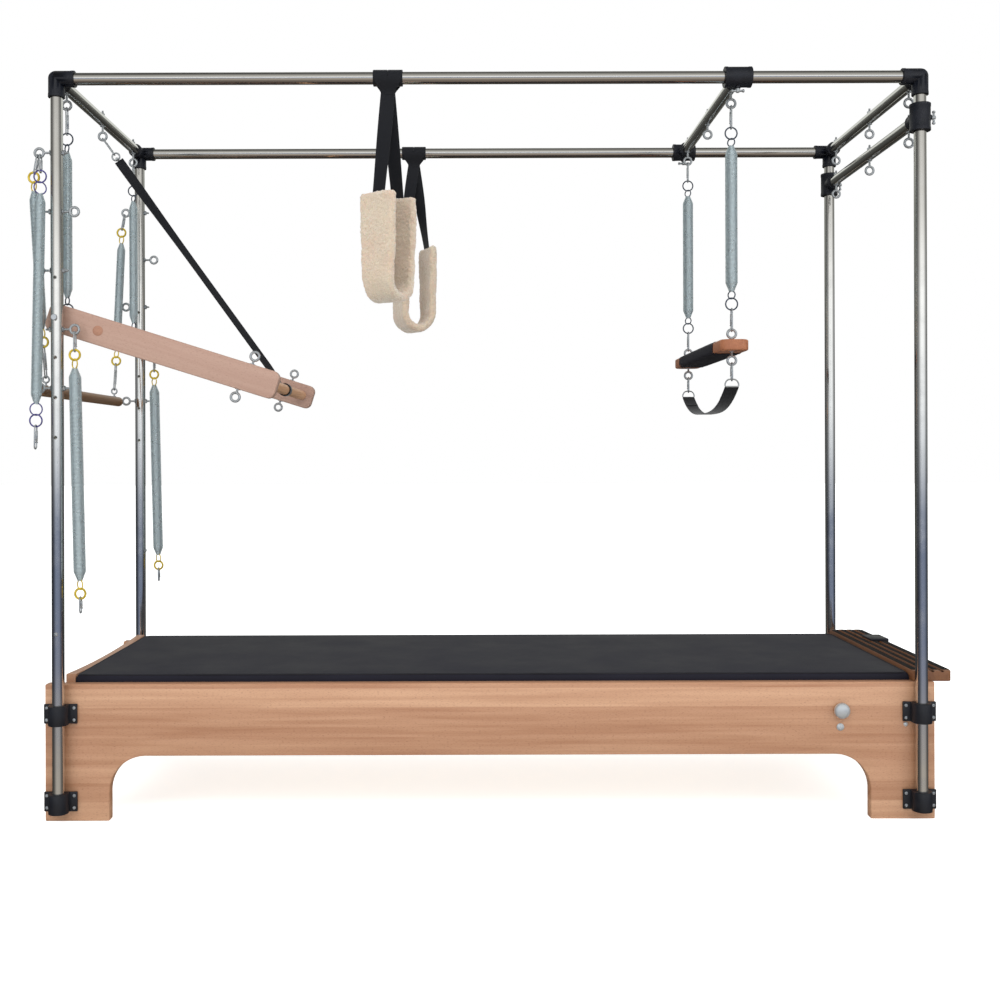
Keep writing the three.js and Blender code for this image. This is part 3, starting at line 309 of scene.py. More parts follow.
def round_edges(bm, radius, segments=3, angle=math.radians(50)):
    """Rounds every edge that is sharper than an angle."""
    edges = [edge for edge in bm.edges if edge.is_manifold and edge.calc_face_angle(0) > angle]
    bmesh.ops.bevel(bm, geom=edges, offset=radius, segments=segments, profile=0.5, affect="EDGES",
                    offset_type="OFFSET", material=-1, clamp_overlap=True)


def mesh_of(name, bm):
    """A mesh whose doubled corners are merged and whose faces look outwards."""
    bmesh.ops.remove_doubles(bm, verts=bm.verts, dist=MERGE)
    bmesh.ops.recalc_face_normals(bm, faces=bm.faces)
    mesh = bpy.data.meshes.new(name)
    bm.to_mesh(mesh)
    bm.free()
    return mesh


def smooth(mesh):
    """Shades a mesh smooth, apart from its sharp edges."""
    mesh.polygons.foreach_set("use_smooth", [True] * len(mesh.polygons))
    mesh.set_sharp_from_angle(angle=SHARP_ANGLE)


def finished(name, bm, material, slot, body, *stands_for):
    """Turns a bmesh into a piece that rides on a body, if one is named, and stands for CAD nodes."""
    mesh = mesh_of(name, bm)
    mesh.materials.append(material)
    smooth(mesh)
    piece = add_object(name, mesh)
    if body:
        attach(piece, body)
    if stands_for:
        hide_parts(*stands_for)
    return piece


beech = lacquered_wood("lacquered beech panel", "#C69B7B", "#9C6B4C", "#7A503A")
for side in ("near", "far"):
    low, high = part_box("side_rail_" + side)
    arch_end = high.x - LEG_WIDTH
    rail = slab([
        (low.x, low.y, low.z), (-arch_end, low.y, low.z), (-arch_end, low.y, ARCH_TOP),
        (arch_end, low.y, ARCH_TOP), (arch_end, low.y, low.z), (high.x, low.y, low.z),
        (high.x, low.y, high.z), (low.x, low.y, high.z),
    ], (0, high.y - low.y, 0), rounded=(2, 3), radius=ARCH_CORNER, steps=24)
    round_edges(rail, RAIL_EDGE)
    finished("side_rail_" + side + ".panel", rail, beech, "beech", "frame", "side_rail_" + side)


# End boards and deck: beech boards between the rails; the left board's top is sawn to a
# shallow dish that holds the mattress, and a birch plywood deck carries the mattress.
BOARD_EDGE = 2.5 * MM
DISH_DEPTH = 8 * MM
DISH_STEPS = 16

beech_across = lacquered_wood(
    "lacquered beech, grain across the bed", "#BE9476", "#986A4C", "#7A503A", turn=(0, 0, math.pi / 2),
)
for end, dish in (("left", DISH_DEPTH), ("right", 0.0)):
    low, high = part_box("end_board_" + end)
    reach = high.y
    top_edge = [
        (low.x, reach * (1 - 2 * i / DISH_STEPS), high.z - dish * (1 - (1 - 2 * i / DISH_STEPS) ** 2))
        for i in range(DISH_STEPS + 1)
    ]
    board = slab([(low.x, -reach, low.z), (low.x, reach, low.z)] + top_edge, (high.x - low.x, 0, 0))
    round_edges(board, BOARD_EDGE)
    finished("end_board_" + end + ".board", board, beech_across, "beech", "frame", "end_board_" + end)

plywood = lacquered_wood("birch plywood deck", "#E3C79F", "#D5B285", "#B8925F", roughness=0.6)
low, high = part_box("deck_panel")
deck = slab(plan(low, high, low.z), (0, 0, high.z - low.z))
round_edges(deck, MM)
finished("deck_panel.plywood", deck, plywood, "beech", "frame", "deck_panel")


# Foot platform: a darker oiled beech board across the rails, its top planed into four slats
# with black ribbed rubber glued on, and a moulded C-shaped clip pushed over the outer edge.
SLATS = 4
SLAT_GROOVE = 5 * MM
GROOVE_DEPTH = 5 * MM
PLATFORM_CORNER = 12 * MM
GRIP_MARGIN = 1.5 * MM
GRIP_END = 16 * MM
GRIP_RIBS = 4
GRIP_HEIGHT = 1.4 * MM
GRIP_EDGE = 0.7 * MM
GRIP_SLOPE = 0.8 * MM
GRIP_SUNK = 0.3 * MM
CLIP_PLAY = 0.3 * MM

oiled_beech = lacquered_wood(
    "oiled beech slats", "#855836", "#684128", "#442917", turn=(0, 0, math.pi / 2), roughness=0.5,
)
low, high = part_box("foot_platform")
platform = slab(plan(low, high, low.z), (0, 0, high.z - low.z), rounded=(1, 2),
                radius=PLATFORM_CORNER, steps=6)
slat_pitch = (high.x - low.x) / SLATS
grooves = [low.x + i * slat_pitch for i in range(1, SLATS)]
for edge_x in [groove + side for groove in grooves for side in (-SLAT_GROOVE, SLAT_GROOVE)]:
    everything = platform.verts[:] + platform.edges[:] + platform.faces[:]
    bmesh.ops.bisect_plane(platform, geom=everything, dist=MERGE, plane_co=(edge_x, 0, 0), plane_no=(1, 0, 0))
platform.normal_update()
groove_faces = [
    face for face in platform.faces
    if face.normal.z > 0.9 and any(abs(face.calc_center_median().x - x) < SLAT_GROOVE for x in grooves)
]
draw_out(platform, groove_faces, (0, 0, -GROOVE_DEPTH), keep=False)
bmesh.ops.delete(platform, geom=groove_faces, context="FACES_ONLY")
round_edges(platform, 1.5 * MM, segments=2)
finished("foot_platform.slats", platform, oiled_beech, "beech", "frame", "foot_platform")

rubber = plain_material("black ribbed rubber grip", {"Base Color": linear("#1B1817"), "Roughness": 0.8,
                                                     "IOR": 1.5, "Specular IOR Level": 0.25})
grips = bmesh.new()
for i in range(SLATS):
    grip_low = low.x + i * slat_pitch + (SLAT_GROOVE if i else 0) + GRIP_MARGIN
    grip_high = low.x + (i + 1) * slat_pitch - (SLAT_GROOVE if i < SLATS - 1 else 0) - GRIP_MARGIN
    for j in range(GRIP_RIBS):
        rib_low = grip_low + (grip_high - grip_low) * j / GRIP_RIBS
        rib_high = rib_low + (grip_high - grip_low) / GRIP_RIBS
        outline = [(rib_low, -GRIP_SUNK), (rib_high, -GRIP_SUNK), (rib_high, GRIP_EDGE),
                   (rib_high - GRIP_SLOPE, GRIP_HEIGHT), (rib_low + GRIP_SLOPE, GRIP_HEIGHT),
                   (rib_low, GRIP_EDGE)]
        verts = [grips.verts.new((x, low.y + GRIP_END, high.z + z)) for x, z in outline]
        draw_out(grips, [grips.faces.new(verts)], (0, high.y - low.y - 2 * GRIP_END, 0))
finished("foot_platform.grips", grips, rubber, "fitting_plastic", "frame")

low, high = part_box("platform_clip")
platform_low, platform_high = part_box("foot_platform")
clip_wall = high.x - platform_high.x
lip_x, inner_x = high.x - 3 * clip_wall, platform_high.x + CLIP_PLAY
under_z, over_z = platform_low.z - CLIP_PLAY, platform_high.z + CLIP_PLAY
clip = slab([(x, low.y, z) for x, z in (
    (low.x, high.z), (high.x, high.z), (high.x, low.z), (lip_x, low.z), (lip_x, under_z),
    (inner_x, under_z), (inner_x, over_z), (low.x, over_z),
)], (0, high.y - low.y, 0))
round_edges(clip, 1.5 * MM)


def moulded_plastic(name, shade, roughness):
    """Injection-moulded ABS: a fine spark-eroded texture of about 1 mm drawn as coarse as it
    shows, slightly polished where hands rub it."""
    material, tree, place = new_material(name, {"Base Color": linear(shade), "Roughness": roughness,
                                                "IOR": 1.53})
    rub = noise_at(tree, place, 28.0, 3.0)
    dress(tree, {
        "Base Color": ramp(tree, rub, (0.3, toned(shade, 0.8)), (0.7, toned(shade, 1.3))),
        "Roughness": spread(tree, rub, 0.35, 0.65, roughness - 0.08, roughness + 0.1),
    }, noise_at(tree, place, 900.0, 2.0), 0.12, 0.15 * MM)
    return material


black_plastic = moulded_plastic("moulded blue-black ABS", "#11141C", 0.46)
finished("platform_clip.clip", clip, black_plastic, "fitting_plastic", "frame", "platform_clip")


# Mattress: a firm foam slab in black vinyl, box-sewn with piping round its top and bottom
# seams; it crowns a little in the middle and its sides draw in at the seams.
CROWN = 2.5 * MM
CROWN_POWER = 8
DIMPLE = 0.8 * MM
WRINKLE = 0.5 * MM
SIDE_INSET = 5 * MM
PIPING = 2.6 * MM
PIPING_CORNER = 18 * MM


def sweep(bm, section, points, side, closed=False):
    """Draws a section, given across and off the side vector, along a line of points. Section
    and side may change from point to point. The UV map holds the distance along and across."""
    uv = bm.loops.layers.uv.verify()
    points = [Vector(point) for point in points]
    count = len(points)
    sections = section if isinstance(section[0], list) else [section] * count
    sides = side if isinstance(side, list) else [side] * count
    run = 0.0
    place_of = {}
    for i, point in enumerate(points):
        before = points[i - 1] if i or closed else point
        after = points[(i + 1) % count] if i < count - 1 or closed else point
        tangent = (after - before).normalized()
        across = Vector(sides[i])
        across = (across - across.dot(tangent) * tangent).normalized()
        off = tangent.cross(across)
        if i == 0:
            ring = [bm.verts.new(point) for _ in sections[0]]
            first = [bm.edges.new(pair) for pair in zip(ring, ring[1:] + ring[:1])]
            edges = first
        else:
            run += (point - points[i - 1]).length
            drawn = bmesh.ops.extrude_edge_only(bm, edges=edges)["geom"]
            made = {part for part in drawn if isinstance(part, bmesh.types.BMVert)}
            ring = [next(e.other_vert(v) for e in v.link_edges if e.other_vert(v) in made) for v in ring]
            edges = [bm.edges.get(pair) for pair in zip(ring, ring[1:] + ring[:1])]
        for vert, (x, y) in zip(ring, sections[i]):
            vert.co = point + across * x + off * y
            place_of[vert] = (run, x)
        if i == 0:
            start_ring = ring
    if closed:
        bmesh.ops.bridge_loops(bm, edges=first + edges)
    else:
        bm.faces.new(start_ring[::-1])
        bm.faces.new(ring)
    for vert, place in place_of.items():
        for loop in vert.link_loops:
            loop[uv].uv = place


def round_section(radius, sides=8):
    """The corners of a round wire's section."""
    return [(radius * math.cos(2 * math.pi * i / sides), radius * math.sin(2 * math.pi * i / sides))
            for i in range(sides)]


def rounded_loop(low, high, corner, z, steps=6):
    """Points round a rectangle with rounded corners, at one height."""
    points = []
    for quarter, (cx, cy) in enumerate((
        (high.x - corner, high.y - corner), (low.x + corner, high.y - corner),
        (low.x + corner, low.y + corner), (high.x - corner, low.y + corner),
    )):
        for i in range(steps + 1):
            angle = math.radians(90 * (quarter + i / steps))
            points.append((cx + corner * math.cos(angle), cy + corner * math.sin(angle), z))
    return points


def upholstery_vinyl(name, shade, light):
    """Calendered vinyl on foam: a fine leather-like emboss of about 1.5 mm cells, a soft satin
    sheen and faint lighter scuffs."""
    material, tree, place = new_material(name, {"Roughness": 0.6, "IOR": 1.42, "Sheen Weight": 0.01,
                                                "Sheen Roughness": 0.4, "Specular IOR Level": 0.3})
    cells = add_node(tree, "ShaderNodeTexVoronoi", "Distance", {"Vector": place, "Scale": 420.0})
    scuffs = noise_at(tree, place, 5.0, 6.0, Roughness=0.6)
    dress(tree, {
        "Base Color": ramp(tree, scuffs, (0.35, shade), (0.7, light)),
        "Roughness": spread(tree, scuffs, 0.35, 0.7, 0.55, 0.66),
    }, cells, 0.25, 0.25 * MM)
    return material


black_vinyl = upholstery_vinyl("black upholstery vinyl", "#1A1A24", "#1F1F2A")
low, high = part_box("mattress")
seam_top = high.z - CROWN
middle = (low + high) / 2
mattress = bmesh.new()
bmesh.ops.create_cube(mattress, size=1.0)
bmesh.ops.scale(mattress, verts=mattress.verts, vec=(high.x - low.x, high.y - low.y, seam_top - low.z))
bmesh.ops.translate(mattress, verts=mattress.verts, vec=(middle.x, middle.y, (seam_top + low.z) / 2))


def run_along(edge, axis):
    """How far an edge runs along one axis."""
    return abs(edge.verts[0].co[axis] - edge.verts[1].co[axis])


for axis, pitch in enumerate((30 * MM, 30 * MM, 6 * MM)):
    along = [edge for edge in mattress.edges if run_along(edge, axis) > 2 * pitch]
    cuts = int(run_along(along[0], axis) / pitch)
    bmesh.ops.subdivide_edges(mattress, edges=along, cuts=cuts, use_grid_fill=True)
half = (high - low) / 2
for vert in mattress.verts:
    from_middle = vert.co - middle
    share_x, share_y = from_middle.x / half.x, from_middle.y / half.y
    share_z = (vert.co.z - low.z) / (seam_top - low.z) * 2 - 1
    inset = SIDE_INSET * abs(share_z) ** 3
    wrinkle = WRINKLE * noise.noise(vert.co * 9)
    vert.co.x -= share_x * (inset - wrinkle) if abs(share_x) > 0.999 else 0
    vert.co.y -= share_y * (inset - wrinkle) if abs(share_y) > 0.999 else 0
    if share_z > 0.99:
        vert.co.z += CROWN * (1 - share_x ** CROWN_POWER) * (1 - share_y ** CROWN_POWER)
        vert.co.z -= DIMPLE * abs(noise.noise(vert.co * 3.1))
mattress_piece = finished("mattress.pad", mattress, black_vinyl, "vinyl", "frame", "mattress")

piping = bmesh.new()
seam_low = Vector((low.x + SIDE_INSET, low.y + SIDE_INSET, 0))
seam_high = Vector((high.x - SIDE_INSET, high.y - SIDE_INSET, 0))
for seam_z in (seam_top - PIPING / 2, low.z + PIPING):
    sweep(piping, round_section(PIPING), rounded_loop(seam_low, seam_high, PIPING_CORNER, seam_z),
          Vector((0, 0, 1)), closed=True)
# The piping's vinyl is painted lighter than the pad's, as a highlight along the seams.
highlit_piping_vinyl = upholstery_vinyl("black vinyl piping, painted lighter as a highlight", "#1D1D22", "#27272D")
finished("mattress.piping", piping, highlit_piping_vinyl, "vinyl", "frame")


# Canopy tubes and posts: drawn steel tube of 32 mm, polished and chromed; the left posts are
# drilled through at five heights for the push-through bar's pins.
TUBE = 16 * MM
TUBE_SIDES = 48
TUBE_RIM = 0.6 * MM
PIN_HOLE = 4.8 * MM
PIN_HOLE_TOP = 1437 * MM
PIN_HOLE_PITCH = 105 * MM
PIN_HOLES = 5
BOLT_ABOVE_TUBE = 14 * MM


def lathe(bm, profile, centre, axis, steps=32):
    """Turns a profile of radius and height round an axis."""
    centre, axis = Vector(centre), Vector(axis).normalized()
    out = axis.orthogonal().normalized()
    verts = [bm.verts.new(centre + out * radius + axis * along) for radius, along in profile]
    edges = [bm.edges.new(pair) for pair in zip(verts, verts[1:])]
    bmesh.ops.spin(bm, geom=verts + edges, cent=centre, axis=axis, dvec=(0, 0, 0),
                   angle=2 * math.pi, steps=steps, use_merge=True, use_duplicate=False)


def rod_profile(radius, start, end, chamfer):
    """The outline of a round rod with chamfered ends."""
    return [(0, start), (radius - chamfer, start), (radius, start + chamfer), (radius, (start + end) / 2),
            (radius, end - chamfer), (radius - chamfer, end), (0, end)]


def drum_profile(radius, start, end):
    """The outline of a plain round disc or rod."""
    return [(0, start), (radius, start), (radius, end), (0, end)]


def with_modifiers(thing):
    """A new mesh of an object with its modifiers applied."""
    bpy.context.view_layer.update()
    return bpy.data.meshes.new_from_object(thing.evaluated_get(bpy.context.evaluated_depsgraph_get()))


def chromed_steel(name):
    """Polished chromed steel: a clean mirror, softened a little by polishing marks that run
    round the tube and by faint handling marks."""
    material, tree, place = new_material(name, {"Base Color": linear("#DADAD7"), "Metallic": 1.0,
                                                "Roughness": 0.12})
    marks = noise_at(tree, place, 14.0, 6.0, Roughness=0.65)
    dress(tree, {"Roughness": spread(tree, marks, 0.4, 0.7, 0.08, 0.2)},
          noise_at(tree, place, 700.0, 2.0), 0.03, 0.05 * MM)
    return material


chrome = chromed_steel("chromed steel tube")


def tube_piece(name, start, end, body, node, holes=()):
    """One length of tube with a thin wall's rounded rim at both ends, drilled where holes are."""
    start, end = Vector(start), Vector(end)
    bm = bmesh.new()
    lathe(bm, rod_profile(TUBE, 0, (end - start).length, TUBE_RIM), start, end - start, TUBE_SIDES)
    piece = finished(name, bm, chrome, "tube_steel", body, node)
    if holes:
        drill_shape = bmesh.new()
        for hole in holes:
            lathe(drill_shape, drum_profile(PIN_HOLE, -2 * TUBE, 2 * TUBE), hole, (0, 1, 0), 24)
        drill = add_object("drill", mesh_of("drill", drill_shape))
        cut = piece.modifiers.new("pin holes", "BOOLEAN")
        cut.operation = "DIFFERENCE"
        cut.solver = "EXACT"
        cut.object = drill
        drilled = with_modifiers(piece)
        piece.modifiers.remove(cut)
        piece.data = drilled
        smooth(drilled)
        bpy.data.objects.remove(drill)
    return piece


post_middles = {}
for end in ("left", "right"):
    for side, _ in SIDES:
        label = end + "_" + side
        bracket_low, bracket_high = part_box("bracket_lower_" + label)
        tube_low, tube_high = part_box("top_tube_" + side)
        low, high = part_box("post_" + label)
        post_x = (bracket_low.x + bracket_high.x) / 2
        post_y = (tube_low.y + tube_high.y) / 2
        post_middles[label] = (post_x, post_y)
        holes = [(post_x, post_y, PIN_HOLE_TOP - i * PIN_HOLE_PITCH) for i in range(PIN_HOLES)]
        tube_piece("post_" + label + ".tube", (post_x, post_y, low.z), (post_x, post_y, high.z),
                   "frame", "post_" + label, holes if end == "left" else ())

CANOPY_HEIGHT = (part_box("top_tube_near")[0].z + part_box("top_tube_near")[1].z) / 2
POST_X = post_middles["right_near"][0]
POST_Y = post_middles["right_far"][1]
for side in ("near", "far"):
    low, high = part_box("top_tube_" + side)
    y = (low.y + high.y) / 2
    tube_piece("top_tube_" + side + ".tube", (low.x, y, CANOPY_HEIGHT), (high.x, y, CANOPY_HEIGHT),
               "frame", "top_tube_" + side)

SLIDE_X = (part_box("slide_tube")[0].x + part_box("slide_tube")[1].x) / 2
DROP_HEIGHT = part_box("drop_tube")[1].z - TUBE - BOLT_ABOVE_TUBE
cross_tubes = {
    "end_tube_left": ("frame", -POST_X, CANOPY_HEIGHT), "end_tube_right": ("frame", POST_X, CANOPY_HEIGHT),
    "slide_tube": ("slide_bar", SLIDE_X, CANOPY_HEIGHT), "drop_tube": ("drop_bar", POST_X, DROP_HEIGHT),
}
for node, (body, x, z) in cross_tubes.items():
    low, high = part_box(node)
    tube_piece(node + ".tube", (x, low.y, z), (x, high.y, z), body, node)


# Eyebolts: zinc-plated forged eyes through the tubes, each with a washer on the eye's side and
# a hexagon nut with a short thread end on the other.
EYE_MEAN = 11.5 * MM
EYE_WIRE = 3.5 * MM
EYE_DROP = 46 * MM
BOLT = 3 * MM
WASHER = 7.5 * MM
WASHER_HEIGHT = 1.4 * MM
THREAD_PITCH = 1.25 * MM
NUT = 7 * MM
NUT_HEIGHT = 6 * MM
NUT_CHAMFER = 0.9 * MM
THREAD_END = 8 * MM
CROSS_EYES = (-295 * MM, 0, 300 * MM)
POST_EYE_TOP = 1767 * MM
POST_EYE_PITCH = 155 * MM
POST_EYES = 5


def plated_steel(name, shade, roughness, clouded=0.75):
    """Zinc plate on wire and forgings: a satin metal with a cloudy blue-grey tone. A share of it
    is diffuse, which was chosen for the brightness that the photo shows."""
    material, tree, place = new_material(name, {"Base Color": linear(shade), "Metallic": 0.82,
                                                "Roughness": roughness})
    cloud = noise_at(tree, place, 60.0, 4.0)
    dress(tree, {
        "Base Color": ramp(tree, cloud, (0.3, toned(shade, clouded)), (0.7, shade)),
        "Roughness": spread(tree, cloud, 0.3, 0.7, roughness - 0.07, roughness + 0.1),
    })
    return material


zinc = plated_steel("bright zinc-plated steel", "#CDD3D7", 0.28)

# The button-head screw that holds the sleeve joint inside each left post
JOINT_SCREW = 5.2 * MM
for label, rise, way in (("left_near", 501 * MM, (0, -1, 0)), ("left_far", 655 * MM, (1, 0, 0))):
    post_x, post_y = post_middles[label]
    button = bmesh.new()
    lathe(button, [(0, TUBE - MM), (JOINT_SCREW, TUBE - MM), (JOINT_SCREW, TUBE + 1.2 * MM),
                   (0.8 * JOINT_SCREW, TUBE + 2.6 * MM), (0.45 * JOINT_SCREW, TUBE + 3.2 * MM),
                   (0.4 * JOINT_SCREW, TUBE + 2 * MM), (0, TUBE + 2 * MM)],
          (post_x, post_y, rise), way, 24)
    finished("post_" + label + ".joint_screw", button, zinc, "zinc_steel", "frame")


def thread_profile(radius, start, end):
    """The zigzag outline of a screw thread between two heights."""
    profile = [(0, start), (radius - 0.3 * MM, start)]
    for i in range(1, int(abs(end - start) / THREAD_PITCH)):
        along = start + math.copysign(i * THREAD_PITCH, end - start)
        profile += [(radius, along - math.copysign(THREAD_PITCH / 2, end - start)),
                    (radius - 0.4 * MM, along)]
    return profile + [(radius - 0.5 * MM, end), (0, end)]


def ring_shape(bm, centre, axis, mean, wire, steps=40, sides=12):
    """A closed round ring of round wire."""
    profile = [(mean + wire * math.cos(2 * math.pi * i / sides), wire * math.sin(2 * math.pi * i / sides))
               for i in range(sides + 1)]
    lathe(bm, profile, centre, axis, steps)


def eyebolt(bm, centre, way, seat=TUBE, reach=EYE_DROP, nutted=True):
    """An eye on one side of a tube or board, and its washer, nut and thread end on the other."""
    centre, way = Vector(centre), Vector(way).normalized()
    neck = reach - EYE_MEAN
    lathe(bm, [(0, 0), (BOLT, 0), (BOLT, neck - 5 * MM), (BOLT + 1.2 * MM, neck), (0, neck)], centre, way, 16)
    lathe(bm, drum_profile(WASHER, seat, seat + WASHER_HEIGHT), centre, way, 24)
    ring_shape(bm, centre + way * reach, (0, 1, 0), EYE_MEAN, EYE_WIRE)
    if nutted:
        base = seat - 0.5 * MM
        top = base + NUT_HEIGHT
        lathe(bm, [(0, base), (NUT, base), (NUT, top - NUT_CHAMFER), (NUT - NUT_CHAMFER, top), (0, top)],
              centre, -way, 6)
        thread = thread_profile(BOLT, top - MM, seat + NUT_HEIGHT + THREAD_END)
        lathe(bm, thread, centre, -way, 16)


for node, (body, x, z) in cross_tubes.items():
    eyes = bmesh.new()
    for y in CROSS_EYES:
        eyebolt(eyes, (x, y, z), (0, 0, -1))
    finished(node + ".eyebolts", eyes, zinc, "zinc_steel", body)
for side, _ in SIDES:
    x, y = post_middles["left_" + side]
    eyes = bmesh.new()
    for i in range(POST_EYES):
        eyebolt(eyes, (x, y, POST_EYE_TOP - i * POST_EYE_PITCH), (1 if i % 2 else -1, 0, 0))
    finished("post_left_" + side + ".eyebolts", eyes, zinc, "zinc_steel", "frame")


# Post brackets: moulded plastic saddles that hold the posts to the rails, each fixed with four
# pan-head screws; the lower ones are closed below and carry the post.
BRACKET_FLANGE = 6 * MM
BRACKET_STAND = 19.7 * MM
SADDLE = 26 * MM
SADDLE_STEPS = 20
SCREW_X = 36 * MM
SCREW_Z = 16 * MM
SCREW_HEAD = 4.4 * MM

for label, (x, y) in post_middles.items():
    for level in ("upper", "lower"):
        node = "bracket_" + level + "_" + label
        low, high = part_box(node)
        sign = -1 if y < 0 else 1
        base = low.y if sign > 0 else high.y
        half_width = (high.x - low.x) / 2
        meet = math.asin((BRACKET_FLANGE - BRACKET_STAND) / SADDLE)
        arc = [meet + (math.pi - 2 * meet) * i / SADDLE_STEPS for i in range(SADDLE_STEPS + 1)]
        outline = [(-half_width, 0), (half_width, 0), (half_width, BRACKET_FLANGE)]
        outline += [(SADDLE * math.cos(a), BRACKET_STAND + SADDLE * math.sin(a)) for a in arc]
        outline += [(-half_width, BRACKET_FLANGE)]
        bracket = slab([(x + across, base + sign * out, low.z) for across, out in outline],
                       (0, 0, high.z - low.z))
        round_edges(bracket, 1.6 * MM, segments=2)
        finished(node + ".saddle", bracket, black_plastic, "fitting_plastic", "frame", node)
        screws = bmesh.new()
        for across in (-SCREW_X, SCREW_X):
            for up in (-SCREW_Z, SCREW_Z):
                lathe(screws, [(0, MM), (1.9 * MM, MM), (1.9 * MM, 2.3 * MM), (3.3 * MM, 2.1 * MM),
                               (SCREW_HEAD, 0.9 * MM), (SCREW_HEAD, -0.5 * MM), (0, -0.5 * MM)],
                      (x + across, base + sign * BRACKET_FLANGE, (low.z + high.z) / 2 + up), (0, sign, 0), 20)
        finished(node + ".screws", screws, zinc, "zinc_steel", "frame")


# Canopy fittings: moulded corner elbows with three sockets, each socket's mouth thickened to a lip.
SOCKET = 21 * MM
SOCKET_REACH = 49 * MM
SOCKET_STOP = 20 * MM
LIP = 0.6 * MM
LIP_LENGTH = 8 * MM
BORE = 16.3 * MM


def socket_profile(start_profile):
    """A socket's outline from its root to its lipped mouth and back down the bore."""
    return start_profile + [
        (SOCKET, SOCKET_REACH - LIP_LENGTH - LIP), (SOCKET + LIP, SOCKET_REACH - LIP_LENGTH),
        (SOCKET + LIP, SOCKET_REACH - LIP), (SOCKET, SOCKET_REACH), (BORE, SOCKET_REACH),
        (BORE, SOCKET_STOP), (0, SOCKET_STOP),
    ]


for label, (x, y) in post_middles.items():
    corner = bmesh.new()
    centre = Vector((x, y, CANOPY_HEIGHT))
    bmesh.ops.create_uvsphere(corner, u_segments=40, v_segments=20, radius=SOCKET,
                              matrix=Matrix.Translation(centre))
    for way in ((-math.copysign(1, x), 0, 0), (0, -math.copysign(1, y), 0), (0, 0, -1)):
        lathe(corner, socket_profile([(0, 0), (SOCKET, 0)]), centre, way, 40)
    finished("corner_" + label + ".elbow", corner, black_plastic, "fitting_plastic", "frame",
             "corner_" + label)


# Sliding T-sleeves: a moulded sleeve that runs on a tube, lipped at both ends, with a socket for
# the cross tube and a boss for a thumb screw with a T-shaped handle.
SLEEVE = 27 * MM
SLEEVE_WAIST = 26.3 * MM
SLEEVE_LENGTH = 71 * MM
SLIDE_BORE = 16.5 * MM
THUMB_REACH = 36 * MM
THUMB_STEM = 4 * MM
THUMB_HOLE = THUMB_STEM + 0.4 * MM
THUMB_HUB = 5.2 * MM
THUMB_BAR = 3.5 * MM
THUMB_LENGTH = 36 * MM

sleeves = {
    "slide": ("slide_bar", SLIDE_X, CANOPY_HEIGHT, (1, 0, 0), (0, 0, -1), (1, 0, 0)),
    "drop": ("drop_bar", POST_X, DROP_HEIGHT, (0, 0, 1), (1, 0, 0), (0, 0, 1)),
}
for bar, (body, x, z, run, screw_way, handle_way) in sleeves.items():
    for side, sign in SIDES:
        centre = Vector((x, sign * POST_Y, z))
        end = SLEEVE_LENGTH / 2
        upper_half = [(SLEEVE_WAIST, end - LIP_LENGTH - 2 * LIP), (SLEEVE, end - LIP_LENGTH),
                      (SLEEVE, end - LIP), (SLEEVE - LIP, end), (SLIDE_BORE, end)]
        lower_half = [(r, -h) for r, h in reversed(upper_half)]
        sleeve = bmesh.new()
        lathe(sleeve, lower_half + upper_half + [(SLIDE_BORE, -end)], centre, run, 48)
        root = [(0, 17.5 * MM), (14 * MM, 17.5 * MM), (18 * MM, 8 * MM), (SOCKET, 8 * MM)]
        lathe(sleeve, socket_profile(root), centre, (0, -sign, 0), 40)
        boss = [(THUMB_HOLE, 20 * MM), (9 * MM, 20 * MM), (8 * MM, 28.5 * MM), (7 * MM, 29.5 * MM),
                (THUMB_HOLE, 29.5 * MM), (THUMB_HOLE, 20 * MM)]
        lathe(sleeve, boss, centre, screw_way, 28)
        finished(bar + "_clamp_" + side + ".sleeve", sleeve, black_plastic, "fitting_plastic", body,
                 bar + "_clamp_" + side)
        thumb = bmesh.new()
        stem = thread_profile(THUMB_STEM, 16.4 * MM, THUMB_REACH - 5 * MM)
        lathe(thumb, stem, centre, screw_way, 20)
        lathe(thumb, [(0, THUMB_REACH - 6 * MM), (THUMB_HUB, THUMB_REACH - 5.4 * MM),
                      (THUMB_HUB, THUMB_REACH + 3 * MM), (4 * MM, THUMB_REACH + 4.5 * MM),
                      (0, THUMB_REACH + 4.8 * MM)], centre, screw_way, 24)
        grip = centre + Vector(screw_way) * THUMB_REACH
        tip = THUMB_LENGTH / 2
        bar_outline = [(0, -tip), (2.2 * MM, -tip), (4.2 * MM, -tip + 1.5 * MM), (4.4 * MM, -tip + 4.5 * MM),
                       (2.9 * MM, -tip + 6.5 * MM), (THUMB_BAR, 0)]
        lathe(thumb, bar_outline + [(r, -h) for r, h in reversed(bar_outline)], grip, handle_way, 20)
        finished(bar + "_screw_" + side + ".thumb_screw", thumb, zinc, "zinc_steel",
                 bar + "_screw_" + side, bar + "_screw_" + side)


# Push-through bar: two planed beech arms with rounded ends, pinned between the left posts and
# tilted down, joined by a turned beech dowel; each arm has two eyebolts and a wooden plug.
ARM_TILT = math.radians(17.5)
ARM_PIVOT = Vector((-POST_X, 0, PIN_HOLE_TOP - PIN_HOLE_PITCH))
ARM_LENGTH = 602 * MM
ARM_TAIL = 36 * MM
ARM_DEPTH = 75 * MM
ARM_CORNER = 20 * MM
ARM_THICKNESS = 30 * MM
ARM_EYE_PLACE = 520 * MM
ARM_EYE_STAGGER = 18 * MM
ARM_EYE_RISE = 22 * MM
PLUG_PLACE = 105 * MM
PLUG = 13.5 * MM
DOWEL = 15 * MM
DOWEL_FROM_END = 37 * MM
PIN = 4.5 * MM
PIN_HEAD = 8 * MM
PIN_HEAD_HEIGHT = 9 * MM
DOWEL_CHAMFER = 1.5 * MM

